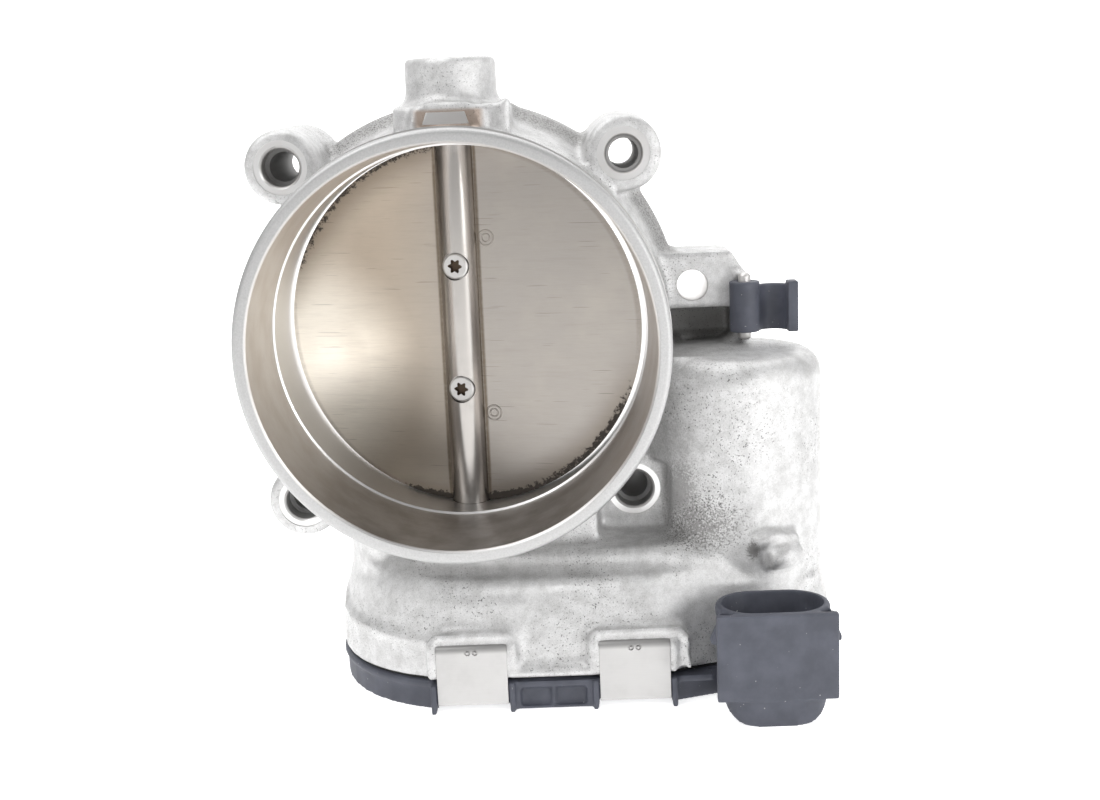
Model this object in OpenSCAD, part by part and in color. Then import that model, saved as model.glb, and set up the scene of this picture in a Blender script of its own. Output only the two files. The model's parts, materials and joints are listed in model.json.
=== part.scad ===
// Electronic throttle body: a cast housing with a round bore, a butterfly plate on a cross shaft,
// an electric motor beside the bore and a two-stage gear train under a clipped plastic cover.
//
// Frame: origin at the centre of the bore in the rear mounting face. +Y runs with the air flow,
// +Z along the throttle shaft towards the closed bearing boss, +X towards the motor.
// The sub-parts are drawn about the point where the throttle shaft crosses the bore's axis,
// and in_place() carries them to the frame.

/* [Bore and rim] */
// Diameter of the throttle bore
bore_d = 82; // [66:0.5:100]
// Thickness of the wall around the bore
bore_wall = 3.2; // [2.6:0.1:5]
// Distance from the throttle shaft to the inlet rim
inlet_len = 37.4; // [33:0.1:50]
// Distance from the throttle shaft to the rear mounting face
outlet_len = 25; // [22:0.1:34]
// How much wider than the bore the inlet mouth is, across the diameter
mouth_extra = 2; // [1:0.1:4]
// Distance from the shaft to the step where the bore narrows
step_ahead = 11; // [8:0.1:16]
// Width of the bead round the rim
bead_w = 5; // [3:0.1:8]
// Height of the bead above the neck
bead_h = 0.8; // [0.4:0.1:2]

/* [Mounting flange] */
// Distance from the bore's wall to the centre of each bolt
bolt_reach = 12.03; // [10:0.01:20]
// Diameter of the bolt holes
bolt_hole_d = 6.6; // [5:0.1:9]
// Diameter of the counterbores at the front of three bolt lugs
counterbore_d = 8.4; // [7:0.1:12]
// Depth of those counterbores
counterbore_depth = 5; // [2:0.1:10]
// Diameter of the bolt lugs
lug_d = 16.4; // [12:0.1:22]
// Width of the flange beyond the bore's wall
flange_rim = 6.2; // [4:0.1:10]
// Thickness of the flange
flange_t = 16; // [8:0.1:20]

/* [Throttle plate and shaft] */
// Thickness of the throttle plate
plate_t = 2; // [1.5:0.1:3]
// Angle of the plate from square across the bore when it is shut
closed_angle = 8; // [4:0.5:12]
// Angle that the plate rests at with no current
rest_angle = 13.7; // [9:0.1:20]
// Diameter of the throttle shaft
shaft_d = 9; // [7:0.1:11]
// Distance of each plate screw from the middle of the bore
screw_z = 14; // [9:0.5:20]
// Diameter of the plate screws' heads
screw_head_d = 5.9; // [4.5:0.1:6.2]
// Diameter of the plate screws' threads
screw_thread_d = 3.5; // [2.5:0.1:4]
// Diameter of the closed bearing boss
boss_d = 20.2; // [18:0.1:26]
// Height of the closed bearing boss above the bore's wall
boss_h = 18.6; // [17:0.1:24]
// Outer diameter of the shaft bearings
bearing_d = 13; // [12:0.1:15]
// Length of the shaft bearings
bearing_len = 10; // [7:0.1:11]
// Thickness of the shaft seals
seal_t = 2; // [1.4:0.1:2.4]

/* [Gears] */
// Teeth on the throttle gear's full circle
throttle_teeth = 38; // [34:1:40]
// Teeth on the intermediate gear's small wheel
small_teeth = 22; // [20:1:26]
// Teeth on the intermediate gear's large wheel
large_teeth = 58; // [50:1:62]
// Teeth on the motor pinion
pinion_teeth = 16; // [14:1:18]
// Pressure angle of the teeth
pressure_angle = 25; // [20:0.5:25]
// Play between meshing flanks, along the pitch circle
backlash = 0.3; // [0.2:0.05:0.4]
// Thickness of the throttle gear
throttle_gear_t = 4; // [3:0.1:5]
// Thickness of the large wheel
large_gear_t = 3.4; // [2.5:0.1:4]
// Diameter of the intermediate gear's pin
idler_pin_d = 5; // [4:0.1:6]
// Diameter of the sensor magnet
magnet_d = 6.8; // [5:0.1:7.5]
// Thickness of the spring's wire
spring_wire = 1.4; // [1:0.1:1.8]
// Turns of the return spring
spring_turns = 4; // [3:0.5:4.5]

/* [Motor] */
// Diameter of the motor's can
motor_d = 32; // [28:0.1:36]
// Length of the motor's can
motor_len = 49; // [42:0.5:54]
// Wall of the housing around the motor
motor_wall = 4.3; // [3:0.1:6]
// Diameter of the motor's shaft
motor_shaft_d = 3.2; // [2.5:0.1:4]
// Distance of the motor ahead of the throttle shaft
motor_ahead = 2; // [0:0.1:4]

/* [Gear chamber and cover] */
// Wall of the gear chamber
chamber_wall = 2.2; // [1.8:0.1:3]
// Height of the gear chamber from the shaft bearing's end to the seam
chamber_h = 20.5; // [19:0.1:26]
// Height of the plastic cover below the seam
cover_h = 6.7; // [6:0.1:9]
// Thickness of the cover's floor
cover_floor = 2.2; // [1.8:0.1:3]
// Thickness of the gasket in the seam
gasket_t = 0.8; // [0.5:0.1:1.5]
// Width of each cover clip
clip_w = 15.3; // [10:0.1:20]
// Thickness of the clips' strip
clip_t = 0.7; // [0.5:0.05:1]
// Distance between the two front clips
clip_pitch = 35.2; // [28:0.1:40]

/* [Connector] */
// Width of the connector socket, outside
socket_w = 23.6; // [20:0.1:30]
// Depth of the connector socket, outside
socket_depth = 15.6; // [13:0.1:20]
// Height of the connector above the cover's underside
socket_h = 24.6; // [20:0.1:30]
// Wall of the connector socket
socket_wall = 1.5; // [1.2:0.1:2]
// Number of terminals in each of the two rows
terminals_per_row = 3; // [2:1:4]

/* [Bracket and cable clip] */
// Diameter of the bracket's hole
bracket_hole_d = 7; // [5:0.1:8]
// Distance of the bracket's hole from the flange's rim
bracket_reach = 2.4; // [2:0.1:6]
// Height of the bracket's hole above the motor's barrel
bracket_above = 13.8; // [11:0.1:18]
// Diameter of the cable clip's pin
clip_pin_d = 2.8; // [2:0.1:3.4]
// Diameter of the cable clip's eye
clip_eye_d = 6.8; // [5.5:0.1:8]
// Height of the cable clip's eye
clip_eye_h = 11.5; // [8:0.1:14]
// Width that the cable clip takes in
cable_d = 6.2; // [5:0.1:9]

/* [Clearances] */
// Gap between the throttle plate's edge and the bore
plate_gap = 0.06; // [0.03:0.01:0.1]
// Radial gap of a turning fit
running_gap = 0.03; // [0.02:0.01:0.08]
// Gap between pieces that are placed by hand
loose_gap = 0.15; // [0.1:0.05:0.3]
// Gap that gears and levers keep from what they pass
swing_gap = 0.6; // [0.4:0.1:1]

/* [Hidden] */
$fn = 64;
sliver = 0.02;
press_gap = 0.02;

// Bore, rim and flange
bore_r = bore_d/2;
mouth_r = bore_r + mouth_extra/2;
neck_r = bore_r + bore_wall;
rim_r = neck_r + bead_h;
rim_edge_r = 1.1;
mouth_chamfer = 0.5;
flange_r = neck_r + flange_rim;
flange_front = outlet_len - flange_t;
bolt_xy = (bore_r + bolt_reach)/sqrt(2);
// Each lug: side of the bore, side of the shaft, front face, extra radius, counterbored or not
LUGS = [[-1, 1, -8.8, 0, true], [1, 1, -4.2, 0.3, false], [-1, -1, -9.8, 0, true], [1, -1, -9.2, 0.6, true]];

// Shaft, its bearings and seals; the lower ones mirror the upper ones
shaft_r = shaft_d/2;
seal_z = bore_r + 1.2;
bearing_z = seal_z + seal_t + 0.4;
bearing_end_z = bearing_z + bearing_len;
boss_top_z = bore_r + boss_h;
plug_t = 2;
plug_z = boss_top_z - plug_t - 0.6;
shaft_top_z = bearing_end_z + 0.8;
lower_boss_d = bearing_d + 5;
lower_boss_z = -(bearing_end_z + 0.7);
slot_gap = 0.05;
plate_r = bore_r - plate_gap;
head_sink = 1.7;

// Heights in the gear chamber, downwards from its roof
roof_z = -(bearing_end_z - 2.6);
seam_z = -(bearing_end_z + chamber_h - 2.6);
cover_top_z = seam_z - gasket_t;
base_z = cover_top_z - cover_h;
large_gear_z = seam_z + 2.9;
large_gear_top_z = large_gear_z + large_gear_t;
throttle_gear_z = large_gear_top_z + 0.7;
throttle_gear_top_z = throttle_gear_z + throttle_gear_t;
magnet_z = large_gear_z - 0.4;
// The motor stands on its plate, just above the throttle gear
motor_plate_t = 1.6;
motor_screw_d = 2.4;
plate_under_z = throttle_gear_top_z + 0.2;
motor_face_z = plate_under_z + motor_plate_t;
motor_top_z = motor_face_z + motor_len + 0.8;
barrel_top_z = motor_top_z + 2.7;

// Gear train: the motor stands clear of the bore, the large wheel clears the sensor magnet,
// and the two modules follow from the distances
addendum = 0.9;
dedendum = 1.2;
motor_r = motor_d/2;
motor_screw_reach = motor_r + 1.7;
barrel_r = motor_r + motor_wall + 0.2;
motor_x = bore_r + bore_wall + motor_r + 0.3;
motor_y = -motor_ahead;
magnet_cup_r = magnet_d/2 + 0.8;
large_share = (large_teeth + 2*addendum)/(large_teeth + pinion_teeth);
motor_reach = (norm([motor_x, motor_y]) - magnet_cup_r - swing_gap)/(1 + large_share);
module_2 = 2*motor_reach/(large_teeth + pinion_teeth);
large_tip_r = module_2*(large_teeth/2 + addendum);
idler_reach = large_tip_r + magnet_cup_r + swing_gap;
chamber_rear = outlet_len - 1.2;
idler_y = chamber_rear - chamber_wall - swing_gap - large_tip_r;
idler_x = sqrt(pow(idler_reach, 2) - pow(idler_y, 2));
IDLER = [idler_x, idler_y];
// The motor lies motor_reach from the intermediate gear, on its own line across the bore
motor_axis_x = idler_x + sqrt(pow(motor_reach, 2) - pow(motor_y - idler_y, 2));
MOTOR = [motor_axis_x, motor_y];
module_1 = 2*idler_reach/(throttle_teeth + small_teeth);
throttle_gear_r = module_1*throttle_teeth/2;
small_tip_x = idler_x + module_1*(small_teeth/2 + addendum);
idler_angle = atan2(idler_y, idler_x);
motor_angle = atan2(MOTOR.y - IDLER.y, MOTOR.x - IDLER.x);
open_travel = 90 - rest_angle;
shut_travel = rest_angle - closed_angle;
sector_margin = 14;
stop_screw_d = 4;
stop_arm_angle = 110;
stop_arm_w = 5;
stop_y = 11;
// The screw's tip lies just short of where the arm's face stands with the plate shut
stop_side = stop_arm_angle + shut_travel + 90;
stop_tip_x = (stop_arm_w/2 + 0.05 - (stop_y + stop_screw_d/2)*sin(stop_side))/cos(stop_side);

// Gear chamber outline: arcs about four centres, run anticlockwise
chamber_front = -(large_tip_r + swing_gap + chamber_wall) + idler_y;
chamber_left_r = -chamber_front;
front_corner_r = 16;
rear_corner_r = 14;
motor_corner_r = barrel_r - 0.4 + chamber_wall;
FRONT_CORNER = [idler_x + large_tip_r - front_corner_r + 1.1, chamber_front + front_corner_r];
REAR_CORNER = [-chamber_left_r + rear_corner_r, chamber_rear - rear_corner_r];
REAR_MIDDLE = [idler_x + large_tip_r - rear_corner_r - 2.9, chamber_rear - rear_corner_r];
// The outline's inset at each height above or below the roof
CHAMBER_LEVELS = [[5.5, 8], [2.2, 4.6], [-3, 2.6], [-11, 1], [-14.5, 0.35], [seam_z - roof_z, 0]];

// Spring around the lower bearing boss
bush_t = 0.6;
spring_r = lower_boss_d/2 + bush_t + 0.2 + spring_wire/2;
spring_top_z = roof_z - 0.6;
spring_bottom_z = throttle_gear_top_z + 0.5;

// Cover clips and ledges
ledge_front = chamber_front - 1;
clip_top_z = seam_z + 7.8;
clip_bottom_z = base_z + 1.6;
clip_hook = 2.3;
clip_xs = [0.3, 0.3 + clip_pitch];

// Connector
socket_x = MOTOR.x + 4.3;
// The socket's back keeps clear of the chamber's slanting wall, beside its left end
slant = tangent_angle(FRONT_CORNER, front_corner_r, MOTOR, motor_corner_r);
wall_y = FRONT_CORNER.y
    + (front_corner_r - (socket_x - socket_w/2 - FRONT_CORNER.x)*cos(slant))/sin(slant);
socket_y = wall_y - 1.774 - socket_depth/2;
socket_top_z = base_z + socket_h;
socket_floor_z = cover_top_z + 1.4;
terminal_t = 0.64;
terminal_gap = 4;

// Bracket and cable clip
bracket_x = flange_r + bracket_reach;
bracket_front = outlet_len - 20;
bracket_back = outlet_len - 4;
bracket_right = bracket_x + 12.4;
bracket_z = barrel_top_z + bracket_above;
bracket_top_z = bracket_z + 7.6;
clip_pin_x = bracket_right - 0.9;
clip_pin_y = bracket_front - clip_eye_d/2 - 0.4;
clip_eye_z = bracket_z - 4.8;
clip_pin_len = clip_eye_h + 4;
rib_t = 1.3;

module in_place() {
    translate([0, -outlet_len, 0]) children();
}

// Turns what is drawn with the plate square across the bore to the resting angle
module at_rest() {
    in_place() rotate([0, 0, -rest_angle]) children();
}

// A solid of revolution about the Y axis, from points [radius, y]
module around_bore(points) {
    rotate([-90, 0, 0]) rotate_extrude($fn = 128) polygon(points);
}

module along_y(r, from, to) {
    translate([0, from, 0]) rotate([-90, 0, 0]) cylinder(r = r, h = to - from);
}

module ring(outer_r, inner_r, from, to) {
    translate([0, 0, from]) difference() {
        cylinder(r = outer_r, h = to - from);
        translate([0, 0, -1]) cylinder(r = inner_r, h = to - from + 2);
    }
}

module span_z(from, to) {
    translate([0, 0, from]) linear_extrude(to - from) children();
}

// Points along an arc about c, from angle a0 to angle a1
function arc(c, r, a0, a1, step = 9) =
    let (n = max(1, ceil(abs(a1 - a0)/step)))
    [for (i = [0:n]) c + r*[cos(a0 + (a1 - a0)*i/n), sin(a0 + (a1 - a0)*i/n)]];

// Outward angle of the line that touches circles a and b, walking anticlockwise
function tangent_angle(a, ra, b, rb) =
    atan2(b.y - a.y, b.x - a.x) - acos((ra - rb)/norm(b - a));

// Outline of the gear chamber, drawn in by inset
function chamber_outline(inset) =
    let (
        ra = chamber_left_r - inset,
        rb = front_corner_r - inset,
        rc = motor_corner_r - inset,
        rd = rear_corner_r - inset,
        t_bc = tangent_angle(FRONT_CORNER, rb, MOTOR, rc),
        t_cd = tangent_angle(MOTOR, rc, REAR_MIDDLE, rd),
        turn = t_cd < 0 ? t_cd + 360 : t_cd
    )
    concat(
        arc([0, 0], ra, 180, 270),
        arc(FRONT_CORNER, rb, -90, t_bc),
        arc(MOTOR, rc, t_bc, turn),
        arc(REAR_MIDDLE, rd, turn, 90),
        arc(REAR_CORNER, rd, 90, 180)
    );

// Roll angle of an involute at radius r, in degrees
function involute_angle(base_r, r) =
    let (a = acos(min(1, base_r/r))) tan(a)*180/PI - a;

// Outline of one involute tooth centred on the angle c, then the root to the next tooth;
// a flank stops short of its neighbour's
function tooth(teeth, m, c) =
    let (
        pitch_r = m*teeth/2,
        base_r = pitch_r*cos(pressure_angle),
        tip_r = pitch_r + addendum*m,
        root_r = pitch_r - dedendum*m,
        start_r = max(base_r, root_r),
        half = 90/teeth - backlash/4/pitch_r*180/PI + involute_angle(base_r, pitch_r),
        widest = 180/teeth - sliver*180/PI/root_r,
        steps = 4,
        flank = concat(
            [[root_r, min(half, widest)]],
            [for (i = [0:steps]) let (r = start_r + (tip_r - start_r)*i/steps)
                [r, min(half - involute_angle(base_r, r), widest)]]
        )
    )
    concat(
        [for (i = [0:steps + 1]) flank[i][0]*[cos(c - flank[i][1]), sin(c - flank[i][1])]],
        [for (i = [steps + 1:-1:0]) flank[i][0]*[cos(c + flank[i][1]), sin(c + flank[i][1])]]
    );

function gear_outline(teeth, m, first, count) =
    [for (i = [first:first + count - 1]) for (p = tooth(teeth, m, 360*i/teeth)) p];

// ---------------------------------------------------------------- housing

module bore_tube() {
    edge = rim_edge_r;
    around_bore(concat(
        [[0, -inlet_len], [rim_r - edge, -inlet_len]],
        arc([rim_r - edge, -inlet_len + edge], edge, -90, 0, 15),
        [[rim_r, -inlet_len + bead_w], [neck_r, -inlet_len + bead_w + 1],
        [neck_r, flange_front - 20], [neck_r + 1.2, flange_front - 10],
        [neck_r + 3, flange_front - 3]],
        arc([flange_r - 3, flange_front + 2], 3, -40, 0, 10),
        [[flange_r, outlet_len - 0.6], [flange_r - 0.6, outlet_len], [0, outlet_len]]
    ));
}

module bolt_lug(side_x, side_z, front, extra_r) {
    r = lug_d/2 + extra_r;
    edge = 1.2;
    translate([side_x*bolt_xy, 0, side_z*bolt_xy]) around_bore(concat(
        [[0, front], [r - edge, front]],
        arc([r - edge, front + edge], edge, -90, 0, 30),
        [[r + 0.7, outlet_len - 0.5], [r + 0.2, outlet_len], [0, outlet_len]]
    ));
    // Web from the lug to the bore's wall, ending short of the bolt hole
    rotate([0, -atan2(side_z, side_x), 0])
        translate([neck_r - 3, max(front + 4, -5), -lug_d/3])
        cube([bolt_xy*sqrt(2) - neck_r + 3 - bolt_hole_d/2 - 1.3, outlet_len - max(front + 4, -5), lug_d/1.5]);
}

module top_boss() {
    rotate_extrude() polygon([[0, bore_r + 1], [boss_d/2 + 3.2, bore_r + 1],
        [boss_d/2 + 3, bore_r + 7.6], [boss_d/2 + 1, bore_r + 8.6], [boss_d/2, bore_r + 10.6],
        [boss_d/2, boss_top_z - 0.6], [boss_d/2 - 0.6, boss_top_z], [0, boss_top_z]]);
    // Shoulder between the boss and the flange
    translate([-boss_d/2 - 2, -boss_d/2 - 1.6, bore_r + 1])
        cube([boss_d + 5, outlet_len + boss_d/2 - 2, 7.6]);
}

module motor_barrel() {
    edge = 5;
    translate(MOTOR) rotate_extrude() polygon(concat(
        [[0, roof_z - 4], [barrel_r, roof_z - 4]],
        arc([barrel_r - edge, barrel_top_z - edge], edge, 0, 84, 14),
        [[0, barrel_top_z + 0.6]]
    ));
}

// Casting between the bore and the motor, with the flat pad of the lower bolt
module motor_web() {
    web_front = LUGS[3][2] + 1.4;
    translate([bore_r - 8, web_front, roof_z - 2])
        cube([MOTOR.x - bore_r + 2, motor_y + 16 - web_front, -roof_z + barrel_top_z]);
    translate([bolt_xy - 9, LUGS[3][2] + 0.4, roof_z - 2])
        cube([18, outlet_len - LUGS[3][2] - 3, -roof_z + 2 - bolt_xy + 7]);
}

module chamber_shell() {
    // The flared lower part, one smooth shell through a few outlines
    hull() for (level = CHAMBER_LEVELS)
        translate([0, 0, roof_z + level[0]]) linear_extrude(sliver)
            polygon(chamber_outline(level[1]));
    // Saddle that carries the bore, ending beside the pad of the lower bolt
    intersection() {
        span_z(roof_z - 4, -bore_r*0.78) polygon(chamber_outline(3.2));
        translate([-100, -19, -100]) cube([bolt_xy + 91.5, 19 + chamber_rear - 1, 100]);
    }
}

// Raised seat that one cover clip snaps over
module clip_ledge(x, from, to, side_ribs) {
    translate([x - clip_w/2 - 0.2, ledge_front, from])
        cube([clip_w + 0.4, -ledge_front + chamber_front + 6, to - from]);
    if (side_ribs) for (s = [-1, 1])
        translate([x + s*(clip_w/2 + 0.9) - 0.7, ledge_front - clip_t - 0.2, from])
            cube([1.4, 6, to - from]);
}

module clip_bracket() {
    difference() {
        translate([0, bracket_back, 0]) rotate([90, 0, 0])
            linear_extrude(bracket_back - bracket_front) polygon([
                [neck_r, bracket_top_z], [bracket_right - 3.4, bracket_top_z],
                [bracket_right, bracket_top_z - 5.4], [bracket_right, barrel_top_z - 4],
                [neck_r, barrel_top_z - 4]]);
        // Deep relief under the hole
        translate([bracket_x - 20, bracket_front - 1, barrel_top_z - 10])
            cube([bracket_right - bracket_x + 16, bracket_back - bracket_front - 4,
                bracket_z - bracket_hole_d/2 - 2 - barrel_top_z + 10]);
    }
    // Two ribs that carry the cable clip's pin, one beyond each end of its eye
    for (s = [-1, 1])
        translate([clip_pin_x - 1.4, clip_pin_y, clip_eye_z + s*(clip_eye_h/2 + 0.4 + rib_t/2) - rib_t/2])
            cube([2.8, bracket_back - 5 - clip_pin_y, rib_t]);
}

module bore_cut() {
    around_bore([[0, -inlet_len - 1], [mouth_r + mouth_chamfer + 1, -inlet_len - 1],
        [mouth_r, -inlet_len + mouth_chamfer], [mouth_r - 0.35, -step_ahead - 0.7],
        [bore_r, -step_ahead], [bore_r, outlet_len - 0.8], [bore_r + 1.8, outlet_len + 1],
        [0, outlet_len + 1]]);
}

module shaft_bore(side) {
    mirror([0, 0, side < 0 ? 1 : 0]) {
        cylinder(r = shaft_r + loose_gap, h = seal_z + 0.1);
        translate([0, 0, seal_z]) cylinder(r = bearing_d/2, h = bearing_end_z - seal_z + (side < 0 ? 3 : 0));
    }
}

module chamber_cut() {
    // Wide space for the large wheel, then a narrower one up to the roof
    span_z(seam_z - 1, large_gear_top_z + 0.5) polygon(chamber_outline(chamber_wall));
    span_z(large_gear_top_z, throttle_gear_top_z + 0.5)
        circle(r = throttle_gear_r + addendum*module_1 + swing_gap);
    difference() {
        span_z(large_gear_top_z, roof_z) polygon(chamber_outline(chamber_wall + 2.8));
        translate([max(MOTOR.x - motor_r - 3, small_tip_x + swing_gap), -50, -100]) cube([100, 100, 100]);
        translate([0, 0, lower_boss_z]) cylinder(d = lower_boss_d, h = 20);
        translate([IDLER.x, IDLER.y, roof_z - 3]) cylinder(d = idler_pin_d + 6, h = 20);
    }
    translate([MOTOR.x, MOTOR.y, seam_z - 1])
        cylinder(r = motor_corner_r - chamber_wall - 0.2, h = motor_face_z - seam_z + 1);
}

// Room for the lower bolt's head beside the motor, short of the motor's pocket
module bolt_head_room() {
    room = [11.1, 30];
    floor_z = roof_z + 5.7;
    motor_wall = 1.9;
    difference() {
        translate([bolt_xy - 3.5, LUGS[3][2] - room.y - 0.15, floor_z])
            cube([room.x, room.y, -bolt_xy + 7.2 - floor_z]);
        translate([MOTOR.x, MOTOR.y, -100]) cylinder(r = motor_r + motor_wall, h = 200);
    }
}

module throttle_housing() color("lightgray") in_place() difference() {
    union() {
        bore_tube();
        for (lug = LUGS) bolt_lug(lug[0], lug[1], lug[2], lug[3]);
        top_boss();
        motor_barrel();
        motor_web();
        chamber_shell();
        for (x = clip_xs) clip_ledge(x, seam_z, clip_top_z - clip_t, true);
        clip_bracket();
    }
    bore_cut();
    for (lug = LUGS) translate([lug[0]*bolt_xy, 0, lug[1]*bolt_xy]) {
        along_y(bolt_hole_d/2, lug[2] - 1, outlet_len + 1);
        if (lug[4]) along_y(counterbore_d/2, lug[2] - 1, lug[2] + counterbore_depth);
    }
    bolt_head_room();
    shaft_bore(1);
    shaft_bore(-1);
    translate([0, 0, bearing_end_z - 0.1]) cylinder(r = bearing_d/2 - 1, h = boss_h);
    translate([0, 0, plug_z]) cylinder(r = bearing_d/2 + 0.6, h = boss_h);
    // Motor's pocket and its bearing's relief
    translate([MOTOR.x, MOTOR.y, motor_face_z - 1])
        cylinder(r = motor_r + 0.2, h = motor_top_z - motor_face_z + 1);
    chamber_cut();
    translate([IDLER.x, IDLER.y, roof_z - 4]) cylinder(d = idler_pin_d, h = 7);
    for (s = [-1, 1]) translate([MOTOR.x, MOTOR.y + s*motor_screw_reach, motor_face_z - 1])
        cylinder(d = motor_screw_d, h = 7);
    translate([bracket_x, 0, bracket_z])
        along_y(bracket_hole_d/2, bracket_front - 1, bracket_back + 1);
    translate([clip_pin_x, clip_pin_y, clip_eye_z - clip_pin_len/2 - 1])
        cylinder(d = clip_pin_d, h = clip_pin_len + 2);
    // Room for each clip's upper hook
    for (x = clip_xs) translate([x - clip_w/2 - 0.2, ledge_front - 2, clip_top_z - clip_t])
        cube([clip_w + 0.4, clip_hook + 1.5, clip_t + 0.5]);
    // Pocket in front of the bearing boss
    translate([-7, -boss_d/2 - 5, bore_r + 5]) cube([12.5, 5.4, 2.2]);
    // Threaded hole of the stop screw
    translate([-chamber_left_r - 3, stop_y, throttle_gear_z + throttle_gear_t/2])
        rotate([0, 90, 0]) cylinder(d = stop_screw_d, h = 12);
}

// ---------------------------------------------------------------- shaft and plate

module shaft_end_plug() color("silver") in_place() {
    ring(bearing_d/2 + 0.6, bearing_d/2 - 0.4, plug_z, plug_z + plug_t);
    translate([0, 0, plug_z]) cylinder(r = bearing_d/2, h = 0.8);
}

module shaft_bearing() {
    ring(bearing_d/2, shaft_r + running_gap, bearing_z, bearing_end_z);
}

module upper_bearing() color("gainsboro") in_place() shaft_bearing();

module lower_bearing() color("gainsboro") in_place() mirror([0, 0, 1]) shaft_bearing();

module shaft_seals() color("dimgray") in_place() for (side = [0, 1]) mirror([0, 0, side])
    ring(bearing_d/2, shaft_r + running_gap, seal_z, seal_z + seal_t);

module throttle_shaft() color("whitesmoke") at_rest() difference() {
    union() {
        translate([0, 0, throttle_gear_z + 1])
            cylinder(d = shaft_d, h = shaft_top_z - throttle_gear_z - 1);
    }
    // Slot for the plate, and the seats and threads of its screws
    translate([-shaft_d, -plate_t/2 - slot_gap, -bore_r - 0.5])
        cube([2*shaft_d, plate_t + 2*slot_gap, 2*bore_r + 1]);
    for (s = [-1, 1]) translate([0, 0, s*screw_z]) {
        along_y(screw_head_d/2 + 0.2, -shaft_d, -shaft_r + head_sink);
        along_y(screw_thread_d/2 + 0.02, -shaft_d, shaft_d);
    }
}

module throttle_plate() color("tan") at_rest() difference() {
    intersection() {
        translate([-bore_d, -plate_t/2, -bore_d]) cube([2*bore_d, plate_t, 2*bore_d]);
        rotate([0, 0, closed_angle]) along_y(plate_r, -bore_d, bore_d);
    }
    for (s = [-1, 1]) translate([0, 0, s*screw_z]) along_y(screw_thread_d/2 + 0.02, -5, 5);
}

module plate_screws() color("silver") at_rest() for (s = [-1, 1]) translate([0, 0, s*screw_z]) difference() {
    union() {
        along_y(screw_head_d/2, -shaft_r + 0.35, -shaft_r + head_sink);
        along_y(screw_thread_d/2, -shaft_r + head_sink - 0.1, shaft_r - 0.3);
    }
    // Six-lobed recess
    for (a = [0:60:300]) rotate([0, a, 0]) translate([1.05, 0, 0]) along_y(0.42, -shaft_r, -shaft_r + 1.3);
    along_y(1.0, -shaft_r, -shaft_r + 1.3);
}

// ---------------------------------------------------------------- gear train

module throttle_gear() color("ivory") in_place() difference() {
    first = ceil((-shut_travel - sector_margin)/(360/throttle_teeth));
    count = floor((open_travel + shut_travel + 2*sector_margin)/(360/throttle_teeth)) + 1;
    union() {
        rotate([0, 0, idler_angle]) span_z(throttle_gear_z, throttle_gear_top_z)
            polygon(concat([[0, 0]], gear_outline(throttle_teeth, module_1, first, count)));
        translate([0, 0, throttle_gear_z])
            cylinder(r = shaft_r + 3.2, h = lower_boss_z - throttle_gear_z - 0.4);
        translate([0, 0, magnet_z]) cylinder(r = magnet_cup_r, h = throttle_gear_z - magnet_z + 1);
        // Arm that meets the stop screw when the plate is shut
        rotate([0, 0, stop_arm_angle]) translate([0, -stop_arm_w/2, throttle_gear_z])
            cube([stop_y + 4, stop_arm_w, throttle_gear_t]);
    }
    translate([0, 0, throttle_gear_z + 1]) cylinder(d = shaft_d + 2*press_gap, h = 30);
    translate([0, 0, magnet_z - 1]) cylinder(d = magnet_d + 2*press_gap, h = 3.4);
}

module sensor_magnet() color("dimgray") in_place()
    translate([0, 0, magnet_z + 0.1]) cylinder(d = magnet_d, h = 2.2);

// A round wire swept along a helix, with its ends closed
module helix_wire(r, wire_r, z0, z1, turns) {
    sides = 8;
    steps = ceil(turns*24);
    points = [for (i = [0:steps]) let (a = 360*turns*i/steps, z = z0 + (z1 - z0)*i/steps)
        for (k = [0:sides - 1]) let (b = 360*k/sides, q = r + wire_r*cos(b))
            [q*cos(a), q*sin(a), z + wire_r*sin(b)]];
    faces = concat(
        [[for (k = [sides - 1:-1:0]) k]],
        [for (i = [0:steps - 1]) for (k = [0:sides - 1]) let (n = (k + 1)%sides)
            [i*sides + n, (i + 1)*sides + n, (i + 1)*sides + k, i*sides + k]],
        [[for (k = [0:sides - 1]) steps*sides + k]]
    );
    polyhedron(points, faces, convexity = 6);
}

module return_spring() color("slategray") in_place()
    helix_wire(spring_r, spring_wire/2, spring_bottom_z + spring_wire/2, spring_top_z - spring_wire/2,
        spring_turns);

module spring_bush() color("ivory") in_place()
    ring(lower_boss_d/2 + bush_t, lower_boss_d/2, lower_boss_z + 0.2, roof_z);

module stop_screw() color("silver") in_place() difference() {
    translate([stop_tip_x, stop_y, throttle_gear_z + throttle_gear_t/2]) rotate([0, -90, 0])
        cylinder(d = stop_screw_d, h = chamber_left_r + stop_tip_x - 1.2);
    translate([1.4 - chamber_left_r, stop_y, throttle_gear_z + throttle_gear_t/2]) rotate([0, -90, 0])
        cylinder(d = 2.2, h = 3, $fn = 6);
}

module idler_pin() color("silver") in_place()
    translate([IDLER.x, IDLER.y, cover_top_z - 2]) cylinder(d = idler_pin_d, h = roof_z + 3 - cover_top_z + 2);

module idler_gear() color("ivory") in_place() translate([IDLER.x, IDLER.y, 0]) difference() {
    union() {
        // A tooth gap of each wheel faces the gear that it meshes with
        rotate([0, 0, idler_angle + 180 + 180/small_teeth])
            span_z(large_gear_top_z - 0.5, throttle_gear_top_z + 0.5)
            polygon(gear_outline(small_teeth, module_1, 0, small_teeth));
        rotate([0, 0, motor_angle]) span_z(large_gear_z, large_gear_top_z)
            polygon(gear_outline(large_teeth, module_2, 0, large_teeth));
    }
    translate([0, 0, seam_z - 5]) cylinder(r = idler_pin_d/2 + running_gap, h = 40);
}

// ---------------------------------------------------------------- motor

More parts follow.
